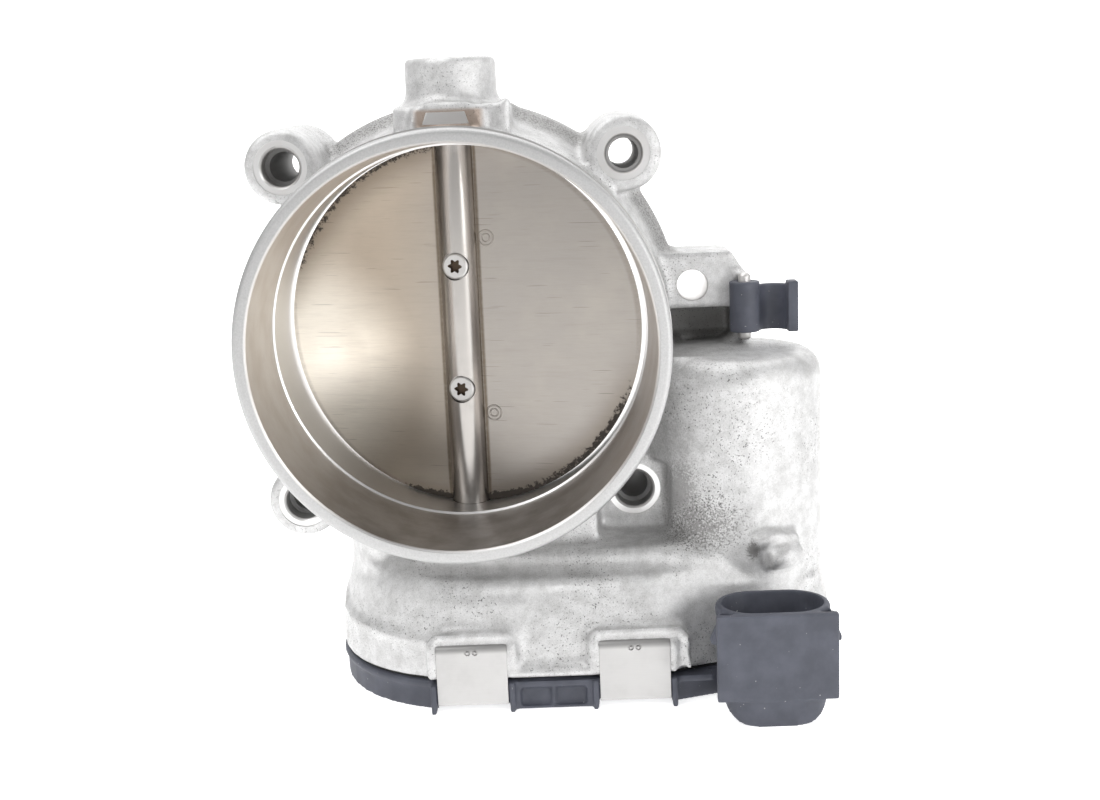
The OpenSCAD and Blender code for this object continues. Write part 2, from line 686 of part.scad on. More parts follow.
module at_motor() {
    in_place() translate([MOTOR.x, MOTOR.y, 0]) children();
}

module motor_can() color("silver") at_motor() {
    top = motor_top_z - 0.8;
    ring(motor_r, motor_r - 1.2, motor_face_z, top);
    ring(motor_r, 4.5, top - 1.2, top);
}

module field_magnets() color("dimgray") at_motor() for (s = [0, 180]) rotate([0, 0, s])
    intersection() {
        inner_r = motor_r - 4.2;
        magnet_half = inner_r*0.95;
        ring(motor_r - 1.22, inner_r, motor_face_z + 10, motor_top_z - 6);
        translate([0, -magnet_half, -100]) cube([motor_r, 2*magnet_half, 100]);
    }

module motor_bearings() color("goldenrod") at_motor() {
    ring(4.46, motor_shaft_d/2 + running_gap, motor_top_z - 4.8, motor_top_z - 0.9);
    ring(3.96, motor_shaft_d/2 + running_gap, plate_under_z + 0.02, motor_face_z + 3);
}

module brush_holder() color("dimgray") at_motor() difference() {
    ring(motor_r - 1.3, 6.6, motor_face_z + 3.2, motor_face_z + 5);
    for (s = [0, 180]) rotate([0, 0, s + 90]) translate([6, -1.2, motor_face_z]) cube([5, 2.4, 8]);
}

module motor_plate() color("silver") at_motor() difference() {
    union() {
        translate([0, 0, plate_under_z]) cylinder(r = motor_r, h = motor_plate_t);
        for (s = [-1, 1]) translate([0, s*motor_screw_reach, plate_under_z])
            cylinder(r = 2, h = motor_plate_t);
    }
    translate([0, 0, plate_under_z - 1]) cylinder(r = 4, h = 4);
    for (s = [-1, 1]) translate([0, s*motor_screw_reach, plate_under_z - 1])
        cylinder(d = motor_screw_d + 0.3, h = 4);
}

module motor_screws() color("silver") at_motor() for (s = [-1, 1])
    translate([0, s*motor_screw_reach, 0]) {
        translate([0, 0, plate_under_z - 1.2]) cylinder(d = motor_screw_d + 1.6, h = 1.2);
        translate([0, 0, plate_under_z - 0.1]) cylinder(d = motor_screw_d, h = 6);
    }

module wave_washer() color("gray") at_motor() ring(9, 6, motor_top_z - 0.75, motor_top_z - 0.1);

module motor_shaft() color("silver") at_motor()
    translate([0, 0, large_gear_z - 0.6])
        cylinder(d = motor_shaft_d, h = motor_top_z - 1.4 - large_gear_z + 0.6);

module armature() color("peru") at_motor() difference() {
    union() {
        translate([0, 0, motor_face_z + 13]) cylinder(r = motor_r - 5, h = motor_len - 22);
        translate([0, 0, motor_face_z + 11]) cylinder(r = motor_r - 7, h = motor_len - 18);
    }
    for (a = [0:72:288]) rotate([0, 0, a]) translate([motor_r - 6.5, -0.9, motor_face_z])
        cube([4, 1.8, motor_len]);
    translate([0, 0, -90]) cylinder(d = motor_shaft_d, h = 90);
}

module commutator() color("chocolate") at_motor()
    ring(5, motor_shaft_d/2, motor_face_z + 4, motor_face_z + 10.9);

module motor_pinion() color("goldenrod") at_motor() difference() {
    rotate([0, 0, motor_angle + 180 + 180/pinion_teeth])
        span_z(large_gear_z - 0.4, large_gear_top_z + 0.6)
        polygon(gear_outline(pinion_teeth, module_2, 0, pinion_teeth));
    translate([0, 0, large_gear_z - 5]) cylinder(d = motor_shaft_d, h = 20);
}

// ---------------------------------------------------------------- cover and connector

module socket_outline(inset) {
    r = socket_depth/2 - inset;
    half = (socket_w - socket_depth)/2;
    polygon(concat(arc([socket_x + half, socket_y], r, -90, 90),
        arc([socket_x - half, socket_y], r, 90, 270)));
}

module socket_body() {
    corner = 5.5;
    half = socket_w/2;
    plate_half = half + 0.8;
    intersection() {
        span_z(base_z, socket_top_z) socket_outline(0);
        // The lower corners are rounded, seen from the front
        translate([socket_x, socket_y + socket_depth, 0]) rotate([90, 0, 0])
            linear_extrude(2*socket_depth) polygon(concat(
                arc([half - 1 - corner, base_z + corner], corner, -90, 0, 15),
                [[half + 0.1, base_z + 7], [half + 0.1, 0], [-half - 0.1, 0], [-half - 0.1, base_z + 7]],
                arc([-half + 1 + corner, base_z + corner], corner, 180, 270, 15)));
    }
    // Flat front shield and its side latches
    translate([socket_x - plate_half, socket_y - socket_depth/2 - 0.5, base_z + 5.8])
        cube([2*plate_half, 1.6, socket_top_z - base_z - 5.8]);
    for (s = [-1, 1]) translate([socket_x, socket_y - 3, socket_top_z - 7]) mirror([s < 0 ? 1 : 0, 0, 0])
        translate([half - 1.5, 0, 0]) rotate([90, 0, 0]) linear_extrude(2.4)
            polygon([[0, 0], [3.4, 0], [3.4, 0.8], [1.5, 5], [0, 5]]);
}

module gear_cover() color("darkslategray") in_place() difference() {
    union() {
        difference() {
            span_z(base_z, cover_top_z) polygon(chamber_outline(0.5));
            span_z(base_z + cover_floor, cover_top_z + 1) polygon(chamber_outline(chamber_wall + 0.6));
        }
        // Spigot that centres the cover in the chamber
        difference() {
            span_z(cover_top_z - 1, seam_z + 1.6) polygon(chamber_outline(chamber_wall + loose_gap));
            span_z(cover_top_z - 2, seam_z + 3) polygon(chamber_outline(chamber_wall + 1.4));
        }
        for (x = clip_xs) clip_ledge(x, clip_bottom_z + clip_t, cover_top_z, false);
        // Ribs beside the clips, down to the underside
        for (x = clip_xs) for (s = [-1, 1])
            translate([x + s*(clip_w/2 + 0.9) - 0.6, ledge_front - clip_t - 0.3, base_z])
                cube([1.2, 6, cover_h]);
        // Neck to the connector
        translate([socket_x - socket_w/2 + 2.4, socket_y, base_z])
            cube([socket_w - 5, -socket_y + MOTOR.y - motor_corner_r + 6, cover_h]);
        socket_body();
        // Seat of the intermediate gear's pin, and posts for the sensor board
        translate([IDLER.x, IDLER.y, base_z + 1]) cylinder(d = idler_pin_d + 4, h = cover_top_z - base_z + 0.4);
        for (p = [[-11, -9], [11, -9], [-11, 9], [11, 9]])
            translate([p.x, p.y, base_z + 1]) cylinder(d = 4, h = cover_top_z - 1 - base_z - 1.6);
    }
    span_z(socket_floor_z, socket_top_z + 1) socket_outline(socket_wall);
    translate([IDLER.x, IDLER.y, cover_top_z - 3]) cylinder(d = idler_pin_d, h = 10);
    for (p = terminal_places) translate([p.x - terminal_t/2, p.y - terminal_t/2, base_z + 2])
        cube([terminal_t, terminal_t, 20]);
    // Relief under each clip's lower hook
    for (x = clip_xs) translate([x - clip_w/2 - 0.2, ledge_front - 2, base_z - 1])
        cube([clip_w + 0.4, 2 + 5, clip_bottom_z + clip_t - base_z + 1]);
}

module cover_gasket() color("black") in_place() difference() {
    span_z(cover_top_z, seam_z) polygon(chamber_outline(0.9));
    span_z(cover_top_z - 1, seam_z + 1) polygon(chamber_outline(chamber_wall + 0.05));
}

// A strip bent to a C that grips the two ledges
module cover_clips() color("gainsboro") in_place() for (x = clip_xs) {
    depth = clip_hook;
    front = ledge_front - clip_t;
    translate([x + clip_w/2, 0, 0]) rotate([90, 0, -90]) linear_extrude(clip_w) polygon([
        [-front, clip_bottom_z + 0.4], [-front, clip_top_z - 0.6], [-front - 0.6, clip_top_z],
        [-front - depth, clip_top_z], [-front - depth, clip_top_z - clip_t],
        [-front - clip_t, clip_top_z - clip_t], [-front - clip_t, clip_bottom_z + clip_t],
        [-front - depth, clip_bottom_z + clip_t], [-front - depth, clip_bottom_z],
        [-front - 0.4, clip_bottom_z]]);
}

module sensor_board() color("darkgreen") in_place()
    translate([-13.5, -11.5, cover_top_z - 1.6]) cube([27, 23, 1.6]);

module motor_contacts() color("goldenrod") in_place() for (s = [-1, 1])
    translate([MOTOR.x + module_2*(pinion_teeth/2 + addendum) + 3, MOTOR.y + s*4 - 1.5, base_z + cover_floor])
        cube([0.8, 3, plate_under_z - base_z - cover_floor]);

terminal_places = [for (row = [-1, 1]) for (i = [0:terminals_per_row - 1])
    [socket_x + (i - (terminals_per_row - 1)/2)*terminal_gap, socket_y + row*2]];

module connector_terminals() color("gold") in_place() for (p = terminal_places)
    translate([p.x - terminal_t/2, p.y - terminal_t/2, base_z + 2])
        cube([terminal_t, terminal_t, socket_top_z - 6 - base_z - 2]);

// ---------------------------------------------------------------- cable clip

module cable_clip() color("dimgray") in_place() translate([clip_pin_x, clip_pin_y, clip_eye_z]) difference() {
    eye_r = clip_eye_d/2;
    wall = 1.7;
    channel_r = cable_d/2;
    channel = [eye_r + channel_r - 0.2, -1.4];
    union() {
        translate([0, 0, -clip_eye_h/2]) cylinder(d = clip_eye_d, h = clip_eye_h);
        // Open channel beside the eye, with a lip at its far side
        translate([0, 0, -clip_eye_h/2]) linear_extrude(clip_eye_h - 1) polygon(concat(
            arc(channel, channel_r, 0, 180), arc(channel, channel_r + wall, 180, 0)));
        translate([channel.x + channel_r, channel.y - 2.2, -clip_eye_h/2]) cube([wall + 0.6, 4, clip_eye_h]);
    }
    translate([0, 0, -clip_eye_h]) cylinder(r = clip_pin_d/2 + running_gap, h = 2*clip_eye_h);
}

module cable_clip_pin() color("silver") in_place()
    translate([clip_pin_x, clip_pin_y, clip_eye_z - clip_pin_len/2])
        cylinder(d = clip_pin_d, h = clip_pin_len);

throttle_housing();
shaft_end_plug();
upper_bearing();
lower_bearing();
shaft_seals();
throttle_shaft();
throttle_plate();
plate_screws();
throttle_gear();
sensor_magnet();
return_spring();
spring_bush();
stop_screw();
idler_pin();
idler_gear();
motor_can();
field_magnets();
motor_bearings();
brush_holder();
motor_plate();
motor_screws();
wave_washer();
motor_shaft();
armature();
commutator();
motor_pinion();
gear_cover();
cover_gasket();
cover_clips();
sensor_board();
motor_contacts();
connector_terminals();
cable_clip();
cable_clip_pin();
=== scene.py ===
"""Electronic throttle body: looks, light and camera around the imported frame.

Every sub-assembly is a class that builds its meshes from the frame's own boxes and sizes, each finish is a
class that dresses a material, and main() puts them together in order. Solids and their sizes are in
millimetres, in the frame's own axes; meshes, materials and the stage are in metres.
"""
import json
import logging
import math
from dataclasses import dataclass
from enum import Enum
from typing import Callable, Sequence

import bmesh
import bpy
import numpy as np
from mathutils import Matrix, Vector

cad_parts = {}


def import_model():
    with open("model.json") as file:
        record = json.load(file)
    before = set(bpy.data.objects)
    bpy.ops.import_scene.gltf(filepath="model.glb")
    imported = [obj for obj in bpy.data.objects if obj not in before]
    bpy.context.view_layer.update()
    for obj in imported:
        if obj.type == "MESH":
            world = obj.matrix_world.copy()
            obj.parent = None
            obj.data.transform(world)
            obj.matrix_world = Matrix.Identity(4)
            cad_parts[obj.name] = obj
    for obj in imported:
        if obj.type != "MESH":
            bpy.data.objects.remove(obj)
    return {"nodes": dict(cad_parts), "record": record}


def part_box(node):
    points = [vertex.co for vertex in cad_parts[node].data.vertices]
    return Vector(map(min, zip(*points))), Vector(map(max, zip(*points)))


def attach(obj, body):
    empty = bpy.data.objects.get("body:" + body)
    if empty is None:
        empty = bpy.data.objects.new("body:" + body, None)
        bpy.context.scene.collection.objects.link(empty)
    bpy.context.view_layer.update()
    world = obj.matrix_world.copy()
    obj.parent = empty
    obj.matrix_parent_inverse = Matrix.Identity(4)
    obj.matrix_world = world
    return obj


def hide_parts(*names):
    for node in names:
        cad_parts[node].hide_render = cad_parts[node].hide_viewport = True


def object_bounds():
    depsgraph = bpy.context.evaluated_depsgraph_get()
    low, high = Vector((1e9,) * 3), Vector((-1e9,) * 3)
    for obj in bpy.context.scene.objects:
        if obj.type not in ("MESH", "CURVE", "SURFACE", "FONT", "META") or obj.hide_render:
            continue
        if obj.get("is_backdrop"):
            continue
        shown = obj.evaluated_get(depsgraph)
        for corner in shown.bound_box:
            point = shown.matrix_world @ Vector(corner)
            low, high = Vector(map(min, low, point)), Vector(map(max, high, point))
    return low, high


LOG = logging.getLogger("throttle_body")
MM = 0.001
# The throttle shaft's place along Y and the bolt holes' distance from the bore's middle, both ways, in mm
SHAFT_Y = -25.0
BOLT = 37.498
# How far the plate is open at rest
PLATE_TURN = math.radians(13.7)


# ---------------------------------------------------------------- shader maths


class Sock:
    """A shader socket on which Python's operators add Math nodes."""

    def __init__(self, tree: "NodeTree", socket: bpy.types.NodeSocket) -> None:
        """Wraps socket, whose nodes live in tree."""
        self.tree = tree
        self.socket = socket

    def _math(self, operation: str, *values: "Sock | float") -> "Sock":
        """One Math node with the given operation and inputs."""
        return self.tree.add("ShaderNodeMath", {"operation": operation}, dict(enumerate(values)))

    def __add__(self, other: "Sock | float") -> "Sock":
        """self + other."""
        return self._math("ADD", self, other)

    __radd__ = __add__

    def __sub__(self, other: "Sock | float") -> "Sock":
        """self - other."""
        return self._math("SUBTRACT", self, other)

    def __rsub__(self, other: float) -> "Sock":
        """other - self."""
        return self._math("SUBTRACT", other, self)

    def __mul__(self, other: "Sock | float") -> "Sock":
        """self * other."""
        return self._math("MULTIPLY", self, other)

    __rmul__ = __mul__

    def __truediv__(self, other: "Sock | float") -> "Sock":
        """self / other."""
        return self._math("DIVIDE", self, other)

    def __pow__(self, other: "Sock | float") -> "Sock":
        """self to the power other."""
        return self._math("POWER", self, other)

    def __abs__(self) -> "Sock":
        """The absolute value."""
        return self._math("ABSOLUTE", self)

    def smaller(self, other: "Sock | float") -> "Sock":
        """The smaller of self and other."""
        return self._math("MINIMUM", self, other)

    def larger(self, other: "Sock | float") -> "Sock":
        """The larger of self and other."""
        return self._math("MAXIMUM", self, other)

    def ramp(self, start: float, end: float) -> "Sock":
        """A smooth step.

        Args:
            start: where the step is 0.
            end: where it is 1; it may lie below start.

        Returns:
            0 on start's side, 1 on end's side and smooth between.
        """
        if start > end:
            return 1.0 - self.ramp(end, start)
        values = {"Value": self, "From Min": start, "From Max": end}
        return self.tree.add("ShaderNodeMapRange", {"interpolation_type": "SMOOTHSTEP"}, values)


class NodeTree:
    """A material's nodes, with short ways to the patterns that the finishes share."""

    def __init__(self, name: str) -> None:
        """Makes an empty material called name, with a Principled shader and an output."""
        self.material = bpy.data.materials.new(name)
        self.material.use_nodes = True
        self.tree = self.material.node_tree
        self.tree.nodes.clear()
        self.shader = self.tree.nodes.new("ShaderNodeBsdfPrincipled")
        output = self.tree.nodes.new("ShaderNodeOutputMaterial")
        self.tree.links.new(self.shader.outputs[0], output.inputs[0])
        self.object_place = self.add("ShaderNodeTexCoord", {}, {}, "Object")

    def add(self, kind: str, settings: dict, values: dict, output: "str | int" = 0) -> Sock:
        """Adds one node.

        Args:
            kind: the node's type name.
            settings: properties of the node, set before its sockets.
            values: what goes into each socket, by name or index: a Sock, a number or a tuple.
            output: the output socket to return, by name or index.

        Returns:
            The chosen output.
        """
        node = self.tree.nodes.new(kind)
        for key, value in settings.items():
            setattr(node, key, value)
        for key, value in values.items():
            self.put(node.inputs[key], value)
        return Sock(self, node.outputs[output])

    def vector(self, operation: str, first: Sock, second: tuple) -> Sock:
        """A Vector Math node of the given operation on a vector and a fixed one."""
        return self.add("ShaderNodeVectorMath", {"operation": operation}, {0: first, 1: second})

    def put(self, socket: bpy.types.NodeSocket, value: "Sock | float | tuple") -> None:
        """Links a Sock to socket, or sets a plain value on it."""
        if isinstance(value, Sock):
            self.tree.links.new(value.socket, socket)
        elif isinstance(value, tuple) and socket.type == "RGBA" and len(value) == 3:
            socket.default_value = (*value, 1.0)
        else:
            socket.default_value = value

    def set(self, **values: "Sock | float | tuple") -> None:
        """Sets the Principled shader's sockets; underscores in the names stand for spaces."""
        for name, value in values.items():
            self.put(self.shader.inputs[name.replace("_", " ")], value)

    def place(self, stretch: tuple = (1, 1, 1), turn_z: float = 0.0, centre: tuple = (0, 0, 0)) -> Sock:
        """Object coordinates for a pattern.

        Args:
            stretch: what each axis is multiplied by, last of all.
            turn_z: the turn about Z, in radians.
            centre: the point that becomes the origin, first of all.

        Returns:
            The vector.
        """
        moved = self.vector("SUBTRACT", self.object_place, centre)
        turned = self.add("ShaderNodeMapping", {}, {"Vector": moved, "Rotation": (0.0, 0.0, turn_z)})
        return self.vector("MULTIPLY", turned, stretch)

    def axes(self, vector: Sock) -> tuple[Sock, Sock, Sock]:
        """The three parts of a vector."""
        node = self.tree.nodes.new("ShaderNodeSeparateXYZ")
        self.put(node.inputs[0], vector)
        return tuple(Sock(self, node.outputs[i]) for i in range(3))

    def noise(self, vector: Sock, per_mm: float, detail: float = 3.0, rough: float = 0.55) -> Sock:
        """Smooth noise.

        Args:
            vector: where the pattern is read.
            per_mm: how many bumps a millimetre holds.
            detail: how many finer layers are added.
            rough: how strong each finer layer is beside the last.

        Returns:
            A value from 0 to 1.
        """
        values = {"Vector": vector, "Scale": per_mm / MM, "Detail": detail, "Roughness": rough}
        return self.add("ShaderNodeTexNoise", {}, values, "Fac")

    def mix(self, factor: "Sock | float", low: "Sock | tuple", high: "Sock | tuple") -> Sock:
        """Mixes two colours.

        Args:
            factor: how much of high is in the mix, from 0 to 1.
            low: the colour at 0.
            high: the colour at 1.

        Returns:
            The mixed colour.
        """
        node = self.tree.nodes.new("ShaderNodeMix")
        node.data_type = "RGBA"
        for socket, value in zip((node.inputs[0], node.inputs[6], node.inputs[7]), (factor, low, high)):
            self.put(socket, value)
        return Sock(self, node.outputs[2])

    def bump(self, height: Sock, depth: float, strength: float = 1.0) -> None:
        """Feeds the shader's normal from a height from 0 to 1 that stands for depth metres."""
        values = {"Height": height, "Distance": depth, "Strength": strength}
        self.set(Normal=self.add("ShaderNodeBump", {}, values))


def grey(level: float, warmth: float = 0.0) -> tuple[float, float, float]:
    """A linear grey, a little warmer or cooler by warmth."""
    return (level * (1 + warmth), level, level * (1 - warmth))


# ---------------------------------------------------------------- finishes


@dataclass(frozen=True)
class CastMetal:
    """Blasted cast aluminium: mottled light grey, sandy, with dark pits that gather in patches, a few dirty
    places, and painted shade in the cove under the rim, the notch, the web, the bracket's relief and the
    flange's ring face.
    """

    name: str = "cast_aluminium"
    light: tuple = grey(0.72, 0.002)
    dull: tuple = grey(0.50, 0.006)
    pit: tuple = grey(0.10, 0.02)
    # The colour of the dirt, and also of the painted shade in the patches and on the flange
    dirt: tuple = grey(0.20, 0.03)
    tan: tuple = (0.36, 0.27, 0.21)
    # Darkened places: centre and half sizes in millimetres, how ragged and how dark. The first two are pitted
    # dirt on the web
    patches: tuple = (((52.0, -42.0, -43.0), (9.0, 9.0, 7.0), 1.0, 0.75),
                      ((47.0, -42.0, -37.0), (5.0, 9.0, 9.0), 0.7, 0.6),
                      # Dirt with painted shade on the web under the rim
                      ((50.0, -34.0, -24.0), (12.0, 12.0, 24.0), 0.3, 0.45),
                      # Painted shade with soot in the bracket's relief
                      ((54.0, -10.0, -3.4), (15.0, 12.0, 6.4), 0.15, 0.80),
                      # Painted shade in the notch beside the bump
                      ((62.6, -48.0, -48.8), (1.7, 4.0, 2.6), 0.4, 0.9),
                      # Painted shadow in the cove under the rim
                      ((4.0, -46.0, -49.4), (34.0, 8.0, 3.0), 0.15, 0.35))

    def make(self) -> bpy.types.Material:
        """Builds the material."""
        t = NodeTree(self.name)
        where = t.place()
        patches = t.noise(where, 0.06, 4.0)
        cloud = t.noise(where, 0.30, 6.0, 0.68)
        sand = t.noise(where, 3.2, 2.0, 0.7)
        speck = t.noise(where, 2.5, 2.0, 0.55)
        pits = speck.ramp(0.385, 0.32) * patches.ramp(0.42, 0.62)
        fine = t.noise(where, 5.5, 1.0).ramp(0.34, 0.26) * 0.5
        sparkle = sand.ramp(0.35, 0.70) * 0.35
        tone = t.mix(cloud.ramp(0.30, 0.68) * 0.75 + sparkle, self.dull, self.light)
        x, y, z = t.axes(where)
        radius = (x * x + z * z) ** 0.5
        # Painted shade with speckled dirt on the flange's ring face, in the corner behind the rim
        flange = radius.ramp(44.6 * MM, 45.4 * MM) * radius.ramp(52.5 * MM, 51.0 * MM)
        front = y.ramp(-21 * MM, -17 * MM) * y.ramp(-2 * MM, -5 * MM)
        stain = flange * front * (0.40 + 0.4 * speck.ramp(0.55, 0.40))
        for centre, half, ragged, dark in self.patches:
            near = t.vector("SUBTRACT", where, tuple(c * MM for c in centre))
            scaled = t.vector("DIVIDE", near, tuple(h * MM for h in half))
            reach = t.add("ShaderNodeVectorMath", {"operation": "LENGTH"}, {0: scaled}, "Value")
            stain = stain.larger((reach + (speck - 0.5) * 3.2 * ragged).ramp(1.15, 0.45) * dark)
        # stain holds both dirt and painted shade; both take the dirt colour here
        tone = t.mix(stain, tone, self.dirt)
        shelf = abs(x).ramp(8 * MM, 6.4 * MM) * z.ramp(44 * MM, 45 * MM) * z.ramp(49 * MM, 48 * MM)
        tone = t.mix(shelf * y.ramp(-36.4 * MM, -37.2 * MM) * 0.8, tone, self.tan)
        dirt = (pits + fine).smaller(1.0)
        t.set(Base_Color=t.mix(dirt * 0.85, tone, self.pit), Metallic=0.85 - 0.4 * dirt.larger(stain))
        t.set(Roughness=0.46 + 0.14 * cloud + 0.2 * dirt)
        t.bump(sand * 0.7 + cloud * 0.6 - dirt * 0.8, 0.12 * MM, 0.55)
        return t.material


@dataclass(frozen=True)
class TurnedMetal:
    """Machined metal with fine rings about the bore's axis, a little stained by oil, with painted shadow
    towards the bottom of the bore and painted shade in the bolt holes.
    """

    name: str = "turned_aluminium"
    bright: tuple = grey(0.78, 0.006)
    stain: tuple = (0.58, 0.53, 0.49)
    shadow: tuple = (0.17, 0.155, 0.145)
    satin: tuple = grey(0.36)
    # shade: the colour of the painted shade in the bolt holes
    shade: tuple = grey(0.32, 0.002)
    stain_amount: float = 0.25
    roughness: float = 0.27

    def make(self) -> bpy.types.Material:
        """Builds the material."""
        t = NodeTree(self.name)
        where = t.place()
        x, y, z = t.axes(where)
        radius = (x * x + z * z) ** 0.5
        line = radius + y * 0.8
        comb = t.add("ShaderNodeCombineXYZ", {}, {0: line, 1: line * 0.2, 2: 0.0})
        rings = t.noise(comb, 6.0, 3.0, 0.6)
        cloud = t.noise(where, 0.12, 4.0)
        inside = radius.ramp(42.4 * MM, 42.0 * MM) * radius.ramp(30 * MM, 32 * MM)
        film = inside * (0.55 + 0.35 * cloud.ramp(0.3, 0.75)) * y.ramp(-36.4 * MM, -36.6 * MM)
        throat = inside * y.ramp(-36.6 * MM, -35.8 * MM)
        stain = (cloud.ramp(0.4, 0.85) * self.stain_amount).larger(film).larger(throat * 0.25)
        rim = radius.ramp(42.0 * MM, 42.6 * MM) * radius.ramp(47 * MM, 46 * MM)
        face = rim * y.ramp(-56 * MM, -57 * MM)
        satin = t.noise(where, 2.6, 3.0, 0.7)
        stain = stain.larger(face * (0.62 + 0.5 * (satin - 0.5)))
        tone = t.mix(z.ramp(-22 * MM, -40 * MM) * 0.7, self.stain, self.shadow)
        tone = t.mix(face, tone, self.satin)
        # Painted shade in the bolt holes: their walls take the shade colour through the stain mask
        across, up = abs(x) - BOLT * MM, abs(z) - BOLT * MM
        hole = ((across * across + up * up) ** 0.5).ramp(4.6 * MM, 4.1 * MM)
        stain = stain.larger(hole * 0.9)
        tone = t.mix(hole * 0.9, tone, self.shade)
        t.set(Base_Color=t.mix((stain + rings * 0.10).smaller(1.0), self.bright, tone), Metallic=0.95)
        t.set(Roughness=self.roughness + 0.10 * rings + 0.10 * stain + 0.12 * face + 0.35 * hole)
        t.bump(rings, 0.012 * MM, 0.6)
        return t.material


@dataclass(frozen=True)
class PlainMetal:
    """Worked metal with brush lines along one axis, and painted shade above a band of heights when bend is
    given.
    """

    name: str
    colour: tuple
    roughness: float = 0.28
    stretch: tuple = (1.0, 1.0, 0.03)
    lines: float = 6.0
    depth: float = 0.006
    stain: float = 0.12
    # bend: heights in mm from which the colour darkens upwards, as painted shade over a bend; empty for none
    bend: tuple = ()

    def make(self) -> bpy.types.Material:
        """Builds the material."""
        t = NodeTree(self.name)
        lines = t.noise(t.place(self.stretch), self.lines, 3.0, 0.65)
        cloud = t.noise(t.place(), 0.25, 4.0)
        dark = tuple(0.55 * c for c in self.colour)
        tone = t.mix((cloud.ramp(0.45, 0.85) * self.stain + lines * 0.06), self.colour, dark)
        # Painted shade: darker above the heights in bend
        if self.bend:
            height = t.axes(t.place())[2]
            tone = t.mix(height.ramp(self.bend[0] * MM, self.bend[1] * MM) * 0.9, tone, dark)
        t.set(Base_Color=tone)
        t.set(Metallic=1.0, Roughness=self.roughness + 0.12 * lines + 0.1 * cloud)
        t.bump(lines, self.depth * MM, 0.6)
        return t.material


@dataclass(frozen=True)
class SootedPlate:
    """The throttle plate: brushed across, warmed on its left, with soot round two stretches of its edge and a
    painted highlight near its left edge.
    """

    name: str = "plate_metal"
    warm: tuple = (0.54, 0.465, 0.375)
    cool: tuple = (0.39, 0.365, 0.34)
    # pale: the colour of the painted highlight near the left edge
    pale: tuple = (0.99, 0.94, 0.84)
    soot: tuple = (0.035, 0.028, 0.022)
    tarnish: tuple = (0.12, 0.09, 0.06)
    brushing: tuple = grey(0.22, 0.12)
    radius: float = 40.94 * MM

    def make(self) -> bpy.types.Material:
        """Builds the material."""
        t = NodeTree(self.name)
        centre = (0.0, SHAFT_Y * MM, 0.0)
        flat = t.place((1.0, 1.0, 1.0), PLATE_TURN, centre)
        x, _, z = t.axes(flat)
        lines = t.noise(t.place((0.05, 0.05, 1.0), PLATE_TURN, centre), 6.5, 4.0, 0.7)
        streaks = t.noise(t.place((0.05, 0.05, 0.7), PLATE_TURN, centre), 1.2, 4.0, 0.65)
        cloud = t.noise(flat, 0.05, 4.0, 0.6)
        radius = (x * x + z * z) ** 0.5
        edge = radius.ramp(self.radius * 0.80, self.radius)
        upper_left = ((z * 0.8 - x * 0.6) / self.radius).ramp(0.55, 0.95)
        lower_right = ((x * 0.55 - z * 0.83) / self.radius).ramp(0.50, 0.95)
        ragged = t.noise(flat, 0.9, 5.0, 0.75)
        verge = radius.ramp(self.radius * 0.90, self.radius)
        low = ((0.0 - z - x * 0.15) / self.radius).ramp(0.72, 0.95) * x.ramp(2 * MM, 5 * MM)
        beside = x.ramp(-1 * MM, -6 * MM) * x.ramp(-22 * MM, -14 * MM)
        foot = ((0.0 - z) / self.radius).ramp(0.80, 0.99) * beside
        reach = (upper_left * 0.74).larger(lower_right * 0.82).larger(low * 1.15).larger(foot * 1.05)
        crust = (verge * reach + 1.5 * (ragged - 0.5)).ramp(0.62, 0.76)
        seam = abs(abs(x) - 4.75 * MM).ramp(0.7 * MM, 0.1 * MM) * (0.35 + 0.9 * ragged)
        rim = radius.ramp(self.radius * 0.975, self.radius * 0.995) * 0.5
        burnt = upper_left.larger(lower_right).larger(low).larger(foot)
        shade = (burnt * edge * 0.55).larger(rim * ragged).larger(seam.smaller(0.8))
        scratch = t.noise(t.place((0.05, 0.05, 2.0), PLATE_TURN, centre), 1.6, 1.0).ramp(0.30, 0.26)
        tone = t.mix(x.ramp(8 * MM, -20 * MM) * 0.8 + 0.3 * cloud - 0.1, self.cool, self.warm)
        # Painted highlight: a pale reflection painted round (-33, -10) mm, near the left edge
        aside, down = x + 33 * MM, (z + 10 * MM) * 0.75
        painted_highlight = ((aside * aside + down * down) ** 0.5).ramp(24 * MM, 6 * MM)
        tone = t.mix((painted_highlight * 1.2 + 0.25 * (cloud - 0.5)).smaller(1.0).larger(0.0), tone, self.pale)
        tone = t.mix((lines * 0.24 + streaks.ramp(0.45, 0.85) * 0.16).smaller(1.0), tone, self.brushing)
        tone = t.mix(shade, tone, self.tarnish)
        dark = crust.larger(scratch * 0.35)
        t.set(Base_Color=t.mix(dark * 0.92, tone, self.soot), Metallic=0.95 - 0.75 * crust)
        t.set(Roughness=0.24 + 0.14 * lines + 0.3 * crust + 0.1 * cloud)
        t.bump(lines * 0.4 + crust, 0.03 * MM, 0.6)
        return t.material


@dataclass(frozen=True)
class Moulded:
    """Moulded plastic or rubber: a fine spark-eroded grain, faint flow marks and dusty specks."""

    name: str
    colour: tuple
    roughness: float = 0.5
    grain: float = 0.05
    dust: float = 0.0

    def make(self) -> bpy.types.Material:
        """Builds the material."""
        t = NodeTree(self.name)
        where = t.place()
        grain = t.noise(where, 5.0, 2.0)
        cloud = t.noise(where, 0.15, 4.0)
        specks = t.noise(where, 1.1, 1.0).ramp(0.74, 0.80) * self.dust
        pale = tuple(min(1.0, 1.5 * c + 0.004) for c in self.colour)
        tone = t.mix(cloud.ramp(0.3, 0.75), self.colour, pale)
        t.set(Base_Color=t.mix(specks, tone, grey(0.55)), Roughness=self.roughness + 0.12 * cloud)
        t.bump(grain, self.grain * MM, 0.4)
        return t.material


# ---------------------------------------------------------------- geometry


class Axis(Enum):
    """Which way a turned or drawn solid points."""

    X = 0
    Y = 1
    Z = 2


